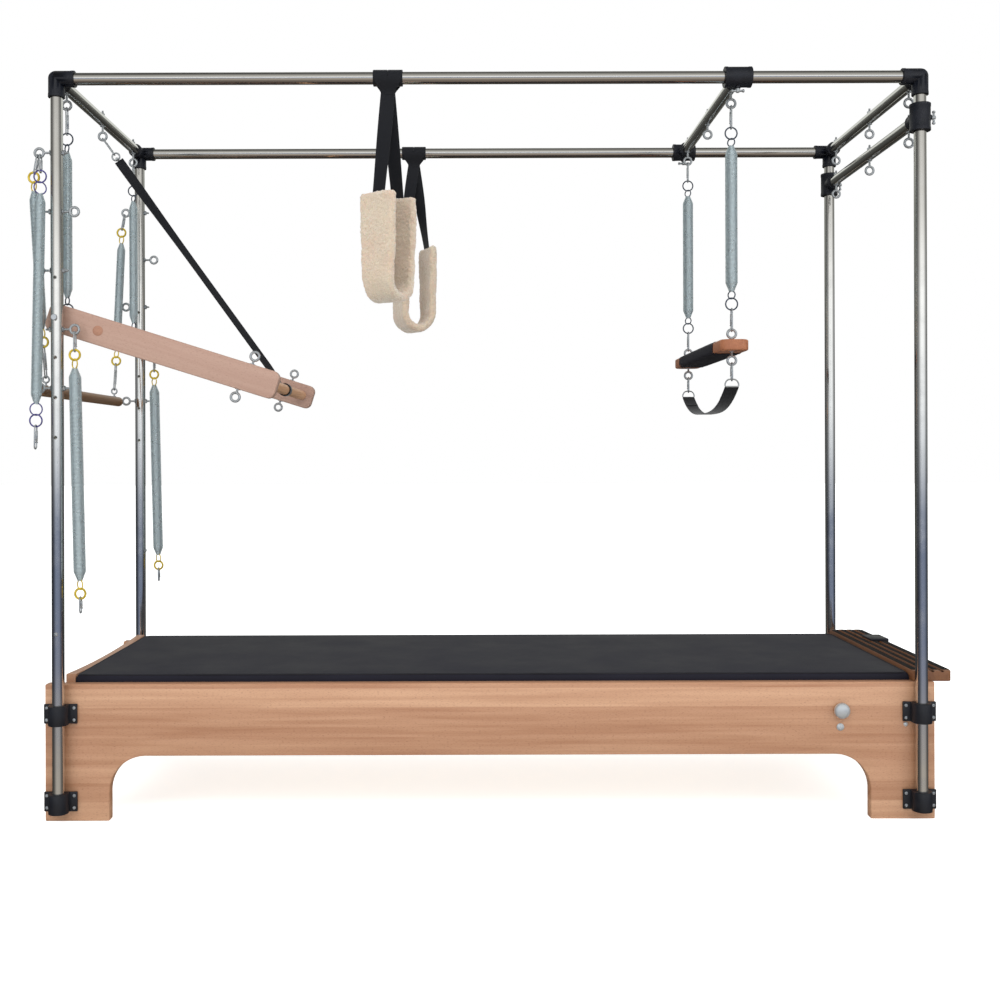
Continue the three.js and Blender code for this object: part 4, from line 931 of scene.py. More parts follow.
tilted = Matrix.Translation(ARM_PIVOT) @ Matrix.Rotation(ARM_TILT, 4, "Y")
arm_beech = lacquered_wood("pink beech arm", "#B29484", "#9B796A", "#7C5B4C", turn=(0, -ARM_TILT, 0))
plug_beech = lacquered_wood("end-grain beech plug", "#A2765F", "#8E6450", "#724C3A", turn=(0, 0, 1.2))
dowel_beech = lacquered_wood("turned beech dowel", "#C99A72", "#B58560", "#946445", turn=(0, 0, math.pi / 2))
for side, sign in SIDES:
    low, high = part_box("push_arm_" + side)
    inner = min(low.y, high.y)
    arm = slab([(-ARM_TAIL, inner, -ARM_DEPTH / 2), (ARM_LENGTH, inner, -ARM_DEPTH / 2),
                (ARM_LENGTH, inner, ARM_DEPTH / 2), (-ARM_TAIL, inner, ARM_DEPTH / 2)],
               (0, ARM_THICKNESS, 0), rounded=(0, 1, 2, 3), radius=ARM_CORNER, steps=10)
    round_edges(arm, 4 * MM, segments=4)
    bmesh.ops.transform(arm, matrix=tilted, verts=arm.verts)
    finished("push_arm_" + side + ".plank", arm, arm_beech, "beech", "push_bar", "push_arm_" + side)
    face_y = inner if sign < 0 else inner + ARM_THICKNESS
    plug = bmesh.new()
    lathe(plug, [(0, -MM), (PLUG, -MM), (PLUG, 0.6 * MM), (PLUG - MM, 1.1 * MM), (0, 1.3 * MM)],
          (PLUG_PLACE, face_y, 0), (0, sign, 0), 40)
    bmesh.ops.transform(plug, matrix=tilted, verts=plug.verts)
    finished("push_arm_" + side + ".plug", plug, plug_beech, "beech", "push_bar")
    eyes = bmesh.new()
    middle_y = inner + ARM_THICKNESS / 2
    for place, way in ((ARM_EYE_PLACE, (0, 0, 1)), (ARM_EYE_PLACE - ARM_EYE_STAGGER, (0, 0, -1))):
        eyebolt(eyes, (place, middle_y, 0), way, ARM_DEPTH / 2, ARM_DEPTH / 2 + ARM_EYE_RISE, nutted=False)
    bmesh.ops.transform(eyes, matrix=tilted, verts=eyes.verts)
    finished("push_arm_" + side + ".eyebolts", eyes, zinc, "zinc_steel", "push_bar")
    pin_node = "pivot_pin_" + side
    low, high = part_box(pin_node)
    outer, tip = (low.y, high.y) if sign < 0 else (high.y, low.y)
    pin_length = abs(outer - tip)
    pin = bmesh.new()
    lathe(pin, [(0, 0), (PIN_HEAD - MM, 0), (PIN_HEAD, MM), (PIN_HEAD, 5 * MM), (PIN_HEAD - 2 * MM, 6 * MM),
                (PIN_HEAD - 2 * MM, PIN_HEAD_HEIGHT), (PIN, PIN_HEAD_HEIGHT), (PIN, pin_length - MM),
                (PIN - MM, pin_length), (0, pin_length)],
          (ARM_PIVOT.x, outer, ARM_PIVOT.z), (0, -sign, 0), 28)
    finished(pin_node + ".pin", pin, zinc, "zinc_steel", "frame", pin_node)

low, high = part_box("push_crossbar")
dowel_centre = tilted @ Vector((ARM_LENGTH - DOWEL_FROM_END, 0, 0))
dowel = bmesh.new()
reach = high.y - 3 * MM
lathe(dowel, rod_profile(DOWEL, -reach, reach, DOWEL_CHAMFER), dowel_centre, (0, 1, 0), 40)
finished("push_crossbar.dowel", dowel, dowel_beech, "beech", "push_bar", "push_crossbar")


# Hanging springs: closed-wound zinc-plated springs with tapered ends. Each end is bent to a loop
# that carries a dipped ring, and a snap hook joins the ring to an eyebolt or hangs free below.
HOOK_WIRE = 2 * MM
HOOK_HALF_WIDTH = 7 * MM
BEND_STEPS = 12
GATE_FROM, GATE_TO = 0.24, 0.76
GATE = 2.9 * MM
COIL_WIRE = 1.7 * MM
COIL_STEPS = 16
COIL_SIDES = 8
TAPER = 24 * MM
TAPER_SHARE = 0.35
LOOP_TURN = math.radians(48)
THIN = (16 * MM, 2 * MM, 13.77 * MM)
THICK = (13.5 * MM, 3 * MM, 10.56 * MM)
EYE_SEAT = 6.0 * MM
CANOPY_SEAT = 6.7 * MM
PUSH_X = -POST_X
DOWN = Vector((0, 0, -1))


def dipped_ring_paint(name, shade):
    """Plastisol dip over a steel ring: thick, glossy and slightly uneven, for telling springs apart."""
    material, tree, place = new_material(name, {"Roughness": 0.3, "IOR": 1.5})
    wear = noise_at(tree, place, 160.0, 4.0)
    tint = ramp(tree, wear, (0.32, toned(shade, 0.55)), (0.55, shade))
    dress(tree, {"Base Color": tint}, wear, 0.4, 0.4 * MM)
    return material


# Drawn wire carries fine lines along its length, so it throws reflections up and down the spring
spring_steel = plated_steel("zinc-plated spring steel", "#E4F3F8", 0.3, clouded=0.96)
dress(spring_steel.node_tree, {"Anisotropic": 0.85, "Anisotropic Rotation": 0.25})
ring_paints = {
    dip: dipped_ring_paint(dip + " ring dip", shade)
    for dip, shade in (("yellow", "#C4A92E"), ("violet", "#45407A"), ("blue-black", "#363F4C"))
}


def snap_hook(bm, start, end, side):
    """A bent wire hook from one wire centre to another, with a sprung gate on one side."""
    start, end = Vector(start), Vector(end)
    axis = (end - start).normalized()
    across = (Vector(side) - Vector(side).dot(axis) * axis).normalized()
    normal = axis.cross(across)
    length = (end - start).length
    points = []
    for bend, inward in ((start, 1), (end, -1)):
        for angle in (math.pi * i / BEND_STEPS for i in range(BEND_STEPS + 1)):
            points.append(bend + axis * HOOK_HALF_WIDTH * (1 - math.sin(angle)) * inward
                          - across * HOOK_HALF_WIDTH * math.cos(angle) * inward)
    sweep(bm, round_section(HOOK_WIRE), points, normal, closed=True)
    side_line = start + across * HOOK_HALF_WIDTH
    gate_from, gate_to = GATE_FROM * length, GATE_TO * length
    lathe(bm, [(0, gate_from), (GATE - 0.5 * MM, gate_from), (GATE, gate_from + MM), (GATE, gate_to - 6 * MM),
               (GATE - 0.6 * MM, gate_to - 5 * MM), (GATE - 0.6 * MM, gate_to), (0, gate_to)],
          side_line, axis, 16)
    lathe(bm, drum_profile(1.6 * MM, -3.2 * MM, 3.2 * MM), side_line + axis * (gate_to - 2 * MM), normal, 12)


def spring_loop(bm, top, bottom, wire, turned):
    """The loop bent from a spring's last turn, turned out of the ring's plane."""
    top, bottom = Vector(top), Vector(bottom)
    axis = (bottom - top).normalized()
    out = Vector((math.cos(turned), math.sin(turned), 0))
    hole = (out - out.dot(axis) * axis).normalized()
    mean = (bottom - top).length / 2 - wire / 2
    ring_shape(bm, top + axis * (mean + wire), hole, mean, wire, 28, 10)


def coil_shape(top, axis, length, radius):
    """A closed-wound coil that tapers over its last turns."""
    bm = bmesh.new()
    turns = int(length / (2 * COIL_WIRE))
    centre_radius = radius - COIL_WIRE
    upright = Matrix.Translation((centre_radius, 0, 0)) @ Matrix.Rotation(math.pi / 2, 4, "X")
    bmesh.ops.create_circle(bm, segments=COIL_SIDES, radius=COIL_WIRE, matrix=upright)
    wire = add_object("spring wire", bpy.data.meshes.new("spring wire"))
    bm.to_mesh(wire.data)
    bm.clear()
    winding = wire.modifiers.new("winding", "SCREW")
    winding.axis = "Z"
    winding.screw_offset = -length / turns
    winding.iterations = turns
    winding.steps = winding.render_steps = COIL_STEPS
    wound = with_modifiers(wire)
    bm.from_mesh(wound)
    bpy.data.objects.remove(wire)
    bpy.data.meshes.remove(wound)
    bmesh.ops.holes_fill(bm, edges=[edge for edge in bm.edges if edge.is_boundary], sides=COIL_SIDES)
    for vert in bm.verts:
        from_end = max(0.0, min(-vert.co.z, length + vert.co.z))
        share = TAPER_SHARE + (1 - TAPER_SHARE) * min(1.0, from_end / TAPER)
        out = Vector((vert.co.x, vert.co.y, 0)).normalized()
        vert.co -= out * centre_radius * (1 - share)
    turn = DOWN.rotation_difference(axis).to_matrix().to_4x4()
    bmesh.ops.transform(bm, matrix=Matrix.Translation(top) @ turn, verts=bm.verts)
    return bm


def hanging_spring(node, body, top, ring_top, size, neck, length, radius, lean, tail, paint,
                   lower_body=None, loop_turn=LOOP_TURN):
    """Hook, dipped ring, loop, coil, loop, dipped ring and lower hook of one spring."""
    mean, wire, inside = size
    ring_top = Vector(ring_top)
    body_top = ring_top + DOWN * (mean - wire + neck)
    axis = Vector((lean[0], lean[1], -length)).normalized()
    body_end = body_top + axis * length
    ring_end = body_end + axis * (mean - wire + neck)
    grip = mean - wire - HOOK_WIRE
    inner = mean - wire - COIL_WIRE
    tail_end = Vector(tail) if hasattr(tail, "__len__") else ring_end + axis * (inside + tail)
    lower = lower_body or body
    upper_hook = bmesh.new()
    snap_hook(upper_hook, top, ring_top + (Vector(top) - ring_top).normalized() * grip, (0, 1, 0))
    finished(node + ".upper_hook", upper_hook, zinc, "zinc_steel", body)
    lower_hook = bmesh.new()
    snap_hook(lower_hook, ring_end + (tail_end - ring_end).normalized() * grip, tail_end, (0, 1, 0))
    finished(node + ".lower_hook", lower_hook, zinc, "zinc_steel", lower)
    for name, centre, end_point, way, rider in (
        ("upper", ring_top, body_top, DOWN, body), ("lower", ring_end, body_end, -axis, lower),
    ):
        ring = bmesh.new()
        ring_shape(ring, centre, (0, 1, 0), mean, wire)
        spring_loop(ring, centre + way * inner, end_point + way * 2 * MM, COIL_WIRE, loop_turn)
        finished(node + "." + name + "_ring", ring, ring_paints[paint], "zinc_steel", rider)
    coil = finished(node + ".coil", coil_shape(body_top, axis, length, radius), spring_steel,
                    "zinc_steel", None if lower_body else body, node)
    coil.data.set_sharp_from_angle(angle=math.pi)
    if lower_body:
        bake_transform(coil)


for side, y in (("near", CROSS_EYES[0]), ("far", CROSS_EYES[2])):
    for kind, x, hook, length, radius, tail, body, lower in (
        ("trapeze", SLIDE_X, 60, 395, 16.5, 60, "trapeze", "airplane"),
        ("push", PUSH_X, 71, 395, 13.5, 42, "push_spring_" + side, None),
    ):
        eye_z = CANOPY_HEIGHT - EYE_DROP
        ring_z = eye_z - CANOPY_SEAT - hook * MM - THIN[2]
        hanging_spring(
            kind + "_spring_" + side, body, (x, y, eye_z - EYE_SEAT), (x, y, ring_z), THIN, 19 * MM,
            length * MM, radius * MM, (0, 0), tail * MM, "blue-black", lower,
        )
for side, sign in SIDES:
    x, y = -POST_X + EYE_DROP, sign * POST_Y
    eye_z = POST_EYE_TOP - (POST_EYES - 2) * POST_EYE_PITCH
    ring_z = eye_z - CANOPY_SEAT - 50 * MM - THICK[2]
    hanging_spring("leg_spring_" + side, "leg_spring_" + side, (x, y, eye_z - EYE_SEAT), (x, y, ring_z),
                   THICK, 24 * MM, 560 * MM, 16 * MM, (12 * MM, 0), 40 * MM, "yellow")

SHARED_STEP = 3.4 * MM
SHARED_SEAT = 4.94 * MM
ARM_RING_TOP = 1714.1 * MM
outer_eye_x = -POST_X - EYE_DROP
arm_top = Vector((outer_eye_x + SHARED_STEP, -POST_Y, POST_EYE_TOP - SHARED_SEAT))
arm_ring = Vector((arm_top.x + 6 * MM, -POST_Y - 19 * MM, ARM_RING_TOP - THIN[2]))
hanging_spring("arm_spring_near", "arm_spring_near", arm_top, arm_ring, THIN, 30 * MM, 551 * MM, 14 * MM,
               (-12 * MM, 0), 60 * MM, "violet", loop_turn=-LOOP_TURN)


# Roll-down bar: a turned and oiled beech dowel with two small screw eyes, hung from the posts'
# top outer eyes by two springs that lean in towards each other.
ROLL_DOWEL = 15 * MM
ROLL_CHAMFER = 3 * MM
SMALL_EYE_MEAN = 8.5 * MM
SMALL_EYE_WIRE = 2.5 * MM
SMALL_EYE_SEAT = 4 * MM
SMALL_EYE_HEIGHT = 1175.37 * MM
SMALL_EYE_Y = 290 * MM
ROLL_SHIFT = 11 * MM
ROLL_RING_Z = 1702.2 * MM
ROLL_LEAN = 55.12 * MM

low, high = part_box("rolldown_bar")
roll_x = outer_eye_x - SHARED_STEP - ROLL_SHIFT
roll_z = low.z + ROLL_DOWEL
reach = high.y
roll_beech = lacquered_wood("oiled beech dowel", "#7E5A37", "#66482E", "#4A321F", turn=(0, 0, math.pi / 2))
roll_bar = bmesh.new()
lathe(roll_bar, rod_profile(ROLL_DOWEL, -reach, reach, ROLL_CHAMFER), (roll_x, 0, roll_z), (0, 1, 0), 40)
finished("rolldown_bar.dowel", roll_bar, roll_beech, "board_wood", "rolldown", "rolldown_bar")
roll_eyes = bmesh.new()
for side, sign in SIDES:
    eye = Vector((roll_x, sign * SMALL_EYE_Y, SMALL_EYE_HEIGHT))
    ring_shape(roll_eyes, eye, (0, 1, 0), SMALL_EYE_MEAN, SMALL_EYE_WIRE)
    seat = SMALL_EYE_HEIGHT - roll_z - ROLL_DOWEL
    lathe(roll_eyes, [(0, SMALL_EYE_MEAN), (SMALL_EYE_WIRE, SMALL_EYE_MEAN),
                      (SMALL_EYE_WIRE, seat - 1.5 * MM), (6 * MM, seat - 1.2 * MM),
                      (6 * MM, seat + 0.5 * MM), (0, seat + 0.5 * MM)], eye, DOWN, 20)
    hanging_spring(
        "rolldown_spring_" + side, "rolldown",
        (outer_eye_x - SHARED_STEP, sign * POST_Y, POST_EYE_TOP - SHARED_SEAT),
        (roll_x, sign * POST_Y, ROLL_RING_Z), THICK, 24 * MM, 363 * MM, 13 * MM, (0, -sign * ROLL_LEAN),
        (roll_x, sign * SMALL_EYE_Y, SMALL_EYE_HEIGHT + SMALL_EYE_SEAT), "yellow",
    )
finished("rolldown_bar.eyes", roll_eyes, zinc, "zinc_steel", "rolldown")


# Safety strap: black polyester webbing, sewn round the push-through bar's dowel and joined to
# the left cross tube's middle eye by a shackle and a snap hook.
STRAP_WIDTH = 28 * MM
STRAP_THICKNESS = 3.6 * MM
STRAP_HOOK = 58 * MM
SHACKLE_MEAN = 11 * MM
SHACKLE_WIRE = 2.5 * MM
RIB = 2.4 * MM
STRAP_STEPS = 60
STRAP_TWIST = 70 * MM
STRAP_TOP_TURN = math.radians(85)
STRAP_LOW_TURN = math.radians(32)
TURNS = [math.radians(10 * i) for i in range(36)]


def webbing(name, shade, light):
    """Woven polyester webbing: ribs across the band every 2.4 mm, crossed by warp threads, with
    a dull sheen; the ribs are drawn a little coarser than real so that they show."""
    material = plain_material(name, {"Roughness": 0.72, "IOR": 1.48, "Sheen Weight": 0.25,
                                     "Sheen Roughness": 0.35})
    tree = material.node_tree
    place = add_node(tree, "ShaderNodeUVMap", "UV", {}, uv_map="UVMap")
    scaled = mapped(tree, place, Scale=(1 / RIB, 1 / RIB, 1.0))
    ribs = add_node(tree, "ShaderNodeTexWave", "Fac", {
        "Vector": scaled, "Scale": 0.32, "Distortion": 0.6, "Detail": 1.0}, bands_direction="DIAGONAL")
    warp = add_node(tree, "ShaderNodeTexWave", "Fac", {
        "Vector": scaled, "Scale": 0.62, "Distortion": 0.4}, bands_direction="Y")
    weave = add_node(tree, "ShaderNodeMath", "Value", {0: ribs, 1: warp}, operation="MULTIPLY")
    dress(tree, {"Base Color": ramp(tree, weave, (0.1, shade), (0.9, light))}, weave, 0.5, 0.5 * MM)
    return material


def band_section(width, thickness):
    """The corners of a flat band whose edges are softened."""
    w, t, c = width / 2, thickness / 2, thickness / 3
    right = [(w - c, -t), (w, -t + c), (w, t - c), (w - c, t)]
    return [(-w + c, -t)] + right + [(-w + c, t), (-w, t - c), (-w, -t + c)]


def eased(share):
    """A share from 0 to 1 that starts and ends gently."""
    return share * share * (3 - 2 * share)


black_webbing = webbing("black polyester webbing", "#0F1117", "#1F222B")
strap_top = Vector((-POST_X, 0, CANOPY_HEIGHT - EYE_DROP - CANOPY_SEAT))
strap_axis = (dowel_centre - strap_top).normalized()
shackle_at = strap_top + strap_axis * (STRAP_HOOK + SHACKLE_MEAN - SHACKLE_WIRE)
hook = bmesh.new()
snap_hook(hook, strap_top + Vector((0, 0, CANOPY_SEAT - EYE_SEAT)),
          shackle_at - strap_axis * (SHACKLE_MEAN - SHACKLE_WIRE - HOOK_WIRE), (0, 1, 0))
finished("safety_strap.hook", hook, zinc, "zinc_steel", "safety_strap")
shackle = bmesh.new()
ring_shape(shackle, shackle_at, (0, 1, 0), SHACKLE_MEAN, SHACKLE_WIRE)
shackle_pin = ((0, -15), (3.6, -15), (4.4, -13), (4.4, -10), (2.4, -9), (2.4, 13), (3.6, 14), (3.6, 17),
               (0, 17))
lathe(shackle, [(radius * MM, along * MM) for radius, along in shackle_pin],
      shackle_at + strap_axis * SHACKLE_MEAN, (0, 1, 0), 16)
finished("safety_strap.shackle", shackle, zinc, "zinc_steel", "safety_strap")

web_top = shackle_at + strap_axis * (SHACKLE_MEAN + 4 * MM)
loop_radius = DOWEL + STRAP_THICKNESS / 2 + 0.4 * MM
web_end = dowel_centre - strap_axis * loop_radius
web_length = (web_end - web_top).length
off_strap = strap_axis.cross(Vector((0, 1, 0)))
strap = bmesh.new()
faces_out = []
for i in range(STRAP_STEPS + 1):
    from_top = min(1.0, 2 * i / STRAP_STEPS)
    from_loop = min(1.0, web_length * (1 - i / STRAP_STEPS) / STRAP_TWIST)
    angle = STRAP_TOP_TURN - (STRAP_TOP_TURN - STRAP_LOW_TURN) * from_top * (2 - from_top)
    angle *= eased(from_loop)
    faces_out.append(Vector((0, 1, 0)) * math.cos(angle) + off_strap * math.sin(angle))
for layer in (-0.5, 0.5):
    points = [
        web_top + strap_axis * web_length * i / STRAP_STEPS
        + strap_axis.cross(out) * STRAP_THICKNESS * 0.52 * layer
        for i, out in enumerate(faces_out)
    ]
    sweep(strap, band_section(STRAP_WIDTH, STRAP_THICKNESS / 2), points, faces_out)
strap_piece = finished("safety_strap.webbing", strap, black_webbing, "webbing", "safety_strap",
                       "safety_strap")
loop = bmesh.new()
sweep(loop, band_section(STRAP_WIDTH, STRAP_THICKNESS),
      [dowel_centre + loop_radius * (off_strap * math.sin(a) - strap_axis * math.cos(a)) for a in TURNS],
      (0, 1, 0), closed=True)
loop_piece = finished("safety_strap.loop", loop, black_webbing, "webbing", "push_bar")
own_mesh(strap_piece)


# Trapeze board: a planed hardwood plank with rounded ends, hung by two eyebolts above and
# carrying the foot strap by two below; a padded black vinyl cover is laced round its middle.
BOARD_THICKNESS = 30 * MM
BOARD_CORNER = 24 * MM
BOARD_EDGE_ROUND = 5 * MM
BOARD_EYE_RISE = 18 * MM
BOARD_EYE_FALL = 24 * MM
COVER_ROUND = 9 * MM
COVER_STEPS = 60
COVER_END_POWER = 14
TRIM_INSET = 1.6 * MM
TRIM_WIRE = 1.5 * MM
TRIM_ACROSS, TRIM_DOWN = 0.965, 0.94
COVER_PUFF = 0.3 * MM
PINCH_ACROSS, PINCH_DOWN = 0.07, 0.12

board_wood = lacquered_wood("oiled mahogany-toned plank", "#A06646", "#7C472D", "#55301D",
                            turn=(0, 0, math.pi / 2), roughness=0.38)
board_middle = (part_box("board_cover")[0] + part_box("board_cover")[1]) / 2
low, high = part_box("airplane_board")
plank = slab(plan(low, high, board_middle.z - BOARD_THICKNESS / 2), (0, 0, BOARD_THICKNESS),
             rounded=(0, 1, 2, 3), radius=BOARD_CORNER, steps=10)
round_edges(plank, BOARD_EDGE_ROUND, segments=4)
finished("airplane_board.plank", plank, board_wood, "board_wood", "airplane", "airplane_board")
board_eyes = bmesh.new()
for y in (CROSS_EYES[0], CROSS_EYES[2]):
    for way, rise in (((0, 0, 1), BOARD_EYE_RISE), ((0, 0, -1), BOARD_EYE_FALL)):
        eyebolt(board_eyes, (SLIDE_X, y, board_middle.z), way, BOARD_THICKNESS / 2,
                BOARD_THICKNESS / 2 + rise, nutted=False)
finished("airplane_board.eyebolts", board_eyes, zinc, "zinc_steel", "airplane")

low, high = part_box("board_cover")
cover = bmesh.new()
size = high - low
corners = []
for cx, cz, start in ((1, 1, 0), (-1, 1, 90), (-1, -1, 180), (1, -1, 270)):
    for angle in (math.radians(start + 18 * i) for i in range(6)):
        corners.append((cx * (size.x / 2 - COVER_ROUND) + COVER_ROUND * math.cos(angle),
                        cz * (size.z / 2 - COVER_ROUND) + COVER_ROUND * math.sin(angle)))
sections = []
cover_points = []
for i in range(COVER_STEPS + 1):
    share = 2 * i / COVER_STEPS - 1
    end_share = abs(share) ** COVER_END_POWER
    puff = COVER_PUFF * math.sin(9 * share)
    sections.append([
        ((x + math.copysign(puff, x)) * (1 - PINCH_ACROSS * end_share), z * (1 - PINCH_DOWN * end_share))
        for x, z in corners
    ])
    cover_points.append((board_middle.x, board_middle.y + share * size.y / 2, board_middle.z))
sweep(cover, sections, cover_points, (1, 0, 0))
cover_piece = finished("board_cover.pad", cover, black_vinyl, "vinyl", "airplane", "board_cover")
cover_trim = bmesh.new()
for y in (low.y + TRIM_INSET, high.y - TRIM_INSET):
    trim_line = [(board_middle.x + x * TRIM_ACROSS, y, board_middle.z + z * TRIM_DOWN) for x, z in corners]
    sweep(cover_trim, round_section(TRIM_WIRE, 6), trim_line, (0, 1, 0), closed=True)
# The trim's vinyl is painted lighter than the cover's, as a highlight along its edges.
finished("board_cover.piping", cover_trim, highlit_piping_vinyl, "vinyl", "airplane")


# Foot strap: black webbing on two flat wire rings that hang by snap hooks from the board's
# lower eyes; each end of the band is turned back through its ring and sewn down on itself.
FOOT_WIDTH = 38 * MM
FOOT_THICKNESS = 4 * MM
FOOT_HOOK = 46 * MM
FOOT_SAG = 62 * MM
FOOT_RING_HEIGHT = 20 * MM
FOOT_RING_HALF = 18.5 * MM
FOOT_STEPS = 60
FOOT_SAG_POWER = 2.9
FOLD_STEPS = 6

foot_top = board_middle.z - BOARD_THICKNESS / 2 - BOARD_EYE_FALL - EYE_SEAT
foot_ring_top = foot_top - (CANOPY_SEAT - EYE_SEAT) - FOOT_HOOK + 2.2 * MM
web_z = foot_ring_top - FOOT_RING_HEIGHT
foot_steel = bmesh.new()
for y in (CROSS_EYES[0], CROSS_EYES[2]):
    snap_hook(foot_steel, (SLIDE_X, y, foot_top), (SLIDE_X, y, foot_ring_top - 4 * MM), (0, 1, 0))
    ring_half = ((0.2, 1), (0.55, 0.93), (0.82, 0.72), (0.97, 0.45), (1, 0.2), (0.92, 0))
    ring_points = [
        (SLIDE_X + out * FOOT_RING_HALF, y, web_z + up * FOOT_RING_HEIGHT)
        for out, up in [(-x, z) for x, z in reversed(ring_half)] + list(ring_half)
    ]
    sweep(foot_steel, round_section(HOOK_WIRE), ring_points, (0, 1, 0), closed=True)
finished("foot_strap.hooks_and_rings", foot_steel, zinc, "zinc_steel", "foot_strap")

middle_y = (CROSS_EYES[0] + CROSS_EYES[2]) / 2
reach = (CROSS_EYES[2] - CROSS_EYES[0]) / 2
foot_points = []
for i in range(FOOT_STEPS + 1):
    share = 2 * i / FOOT_STEPS - 1
    sag = FOOT_SAG * (1 - abs(share) ** FOOT_SAG_POWER)
    foot_points.append(Vector((SLIDE_X, middle_y + share * reach, web_z - sag - 1.5 * MM)))
foot = bmesh.new()
sweep(foot, band_section(FOOT_WIDTH, FOOT_THICKNESS * 0.5), foot_points, (1, 0, 0))
foot_piece = finished("foot_strap.webbing", foot, black_webbing, "webbing", "foot_strap", "foot_strap")
folds = bmesh.new()
for end_points in (foot_points[:FOLD_STEPS + 1], foot_points[-FOLD_STEPS - 1:]):
    sweep(folds, band_section(FOOT_WIDTH - 0.6 * MM, FOOT_THICKNESS * 0.5),
          [p + Vector((0, 0, FOOT_THICKNESS * 0.5)) for p in end_points], (1, 0, 0))
folds_piece = finished("foot_strap.doubled_ends", folds, black_webbing, "webbing", "foot_strap")


# Fleece slings: a webbing band choked round the long tube, two webbing legs from its neck and a
# broad U of sheepskin-like fleece sewn over the webbing; they hang turned about the vertical.
SLING_X = {"near": -264 * MM, "far": -232 * MM}
SLING_TURN = {"near": math.radians(60), "far": math.radians(25)}
WRAP_LENGTH = 78 * MM
WRAP_OUT = 19.5 * MM
WRAP_THICKNESS = 3.4 * MM
NECK_WIDTH = 36 * MM
NECK_DROP = 42 * MM
SLING_LEG_WIDTH = 38 * MM
SLING_LEG_THICKNESS = 3 * MM
NECK_STEPS = 14
SLING_LEG_STEPS = 30
CUFF_END_STEPS = 12
CUFF_TOP = 308 * MM
CUFF_BOTTOM = 590 * MM
CUFF_SPREAD = 48 * MM
CUFF_THICKNESS = 24 * MM
CUFF_WIDTH = 110 * MM
CUFF_DRAW = 0.2
FLEECE_STEP = 2.6 * MM
TUFT_SIZE = 7 * MM
TUFT_HEIGHT = 1.7 * MM
SLACK_HEIGHT = 3.2 * MM


def fleece(name, shade, shadow, tip):
    """Curly sheepskin fleece: tufts of about 7 mm, pale at the tips, with painted shade that makes the
    hollows between the curls darker and warmer, and a soft sheen that brightens the edges."""
    material, tree, place = new_material(name, {"Roughness": 0.95, "Sheen Weight": 0.6,
                                                "Sheen Roughness": 0.5, "Specular IOR Level": 0.15,
                                                "Subsurface Weight": 0.12, "Subsurface Scale": 4 * MM})
    tufts = add_node(tree, "ShaderNodeTexVoronoi", "Distance", {
        "Vector": place, "Scale": 1 / TUFT_SIZE, "Randomness": 1.0})
    curls = noise_at(tree, place, 420.0, 6.0, Distortion=1.2)
    stain = spread(tree, noise_at(tree, place, 16.0, 3.0), 0.4, 0.75, 0.0, 0.6)
    # Colour follows the curls' height: painted shade darkens the hollows that the bump draws lower.
    curl_shading = add_node(tree, "ShaderNodeMath", "Value", {0: curls, 1: 0.55, 2: 0.2}, operation="MULTIPLY_ADD")
    tint = ramp(tree, curl_shading, (0.34, shadow), (0.52, shade), (0.68, tip))
    heights = add_node(tree, "ShaderNodeMath", "Value", {0: curls, 1: tufts}, operation="SUBTRACT")
    dress(tree, {"Base Color": mix(tree, stain, tint, linear("#C6AB96"))}, heights, 0.9, 2.2 * MM)
    return material
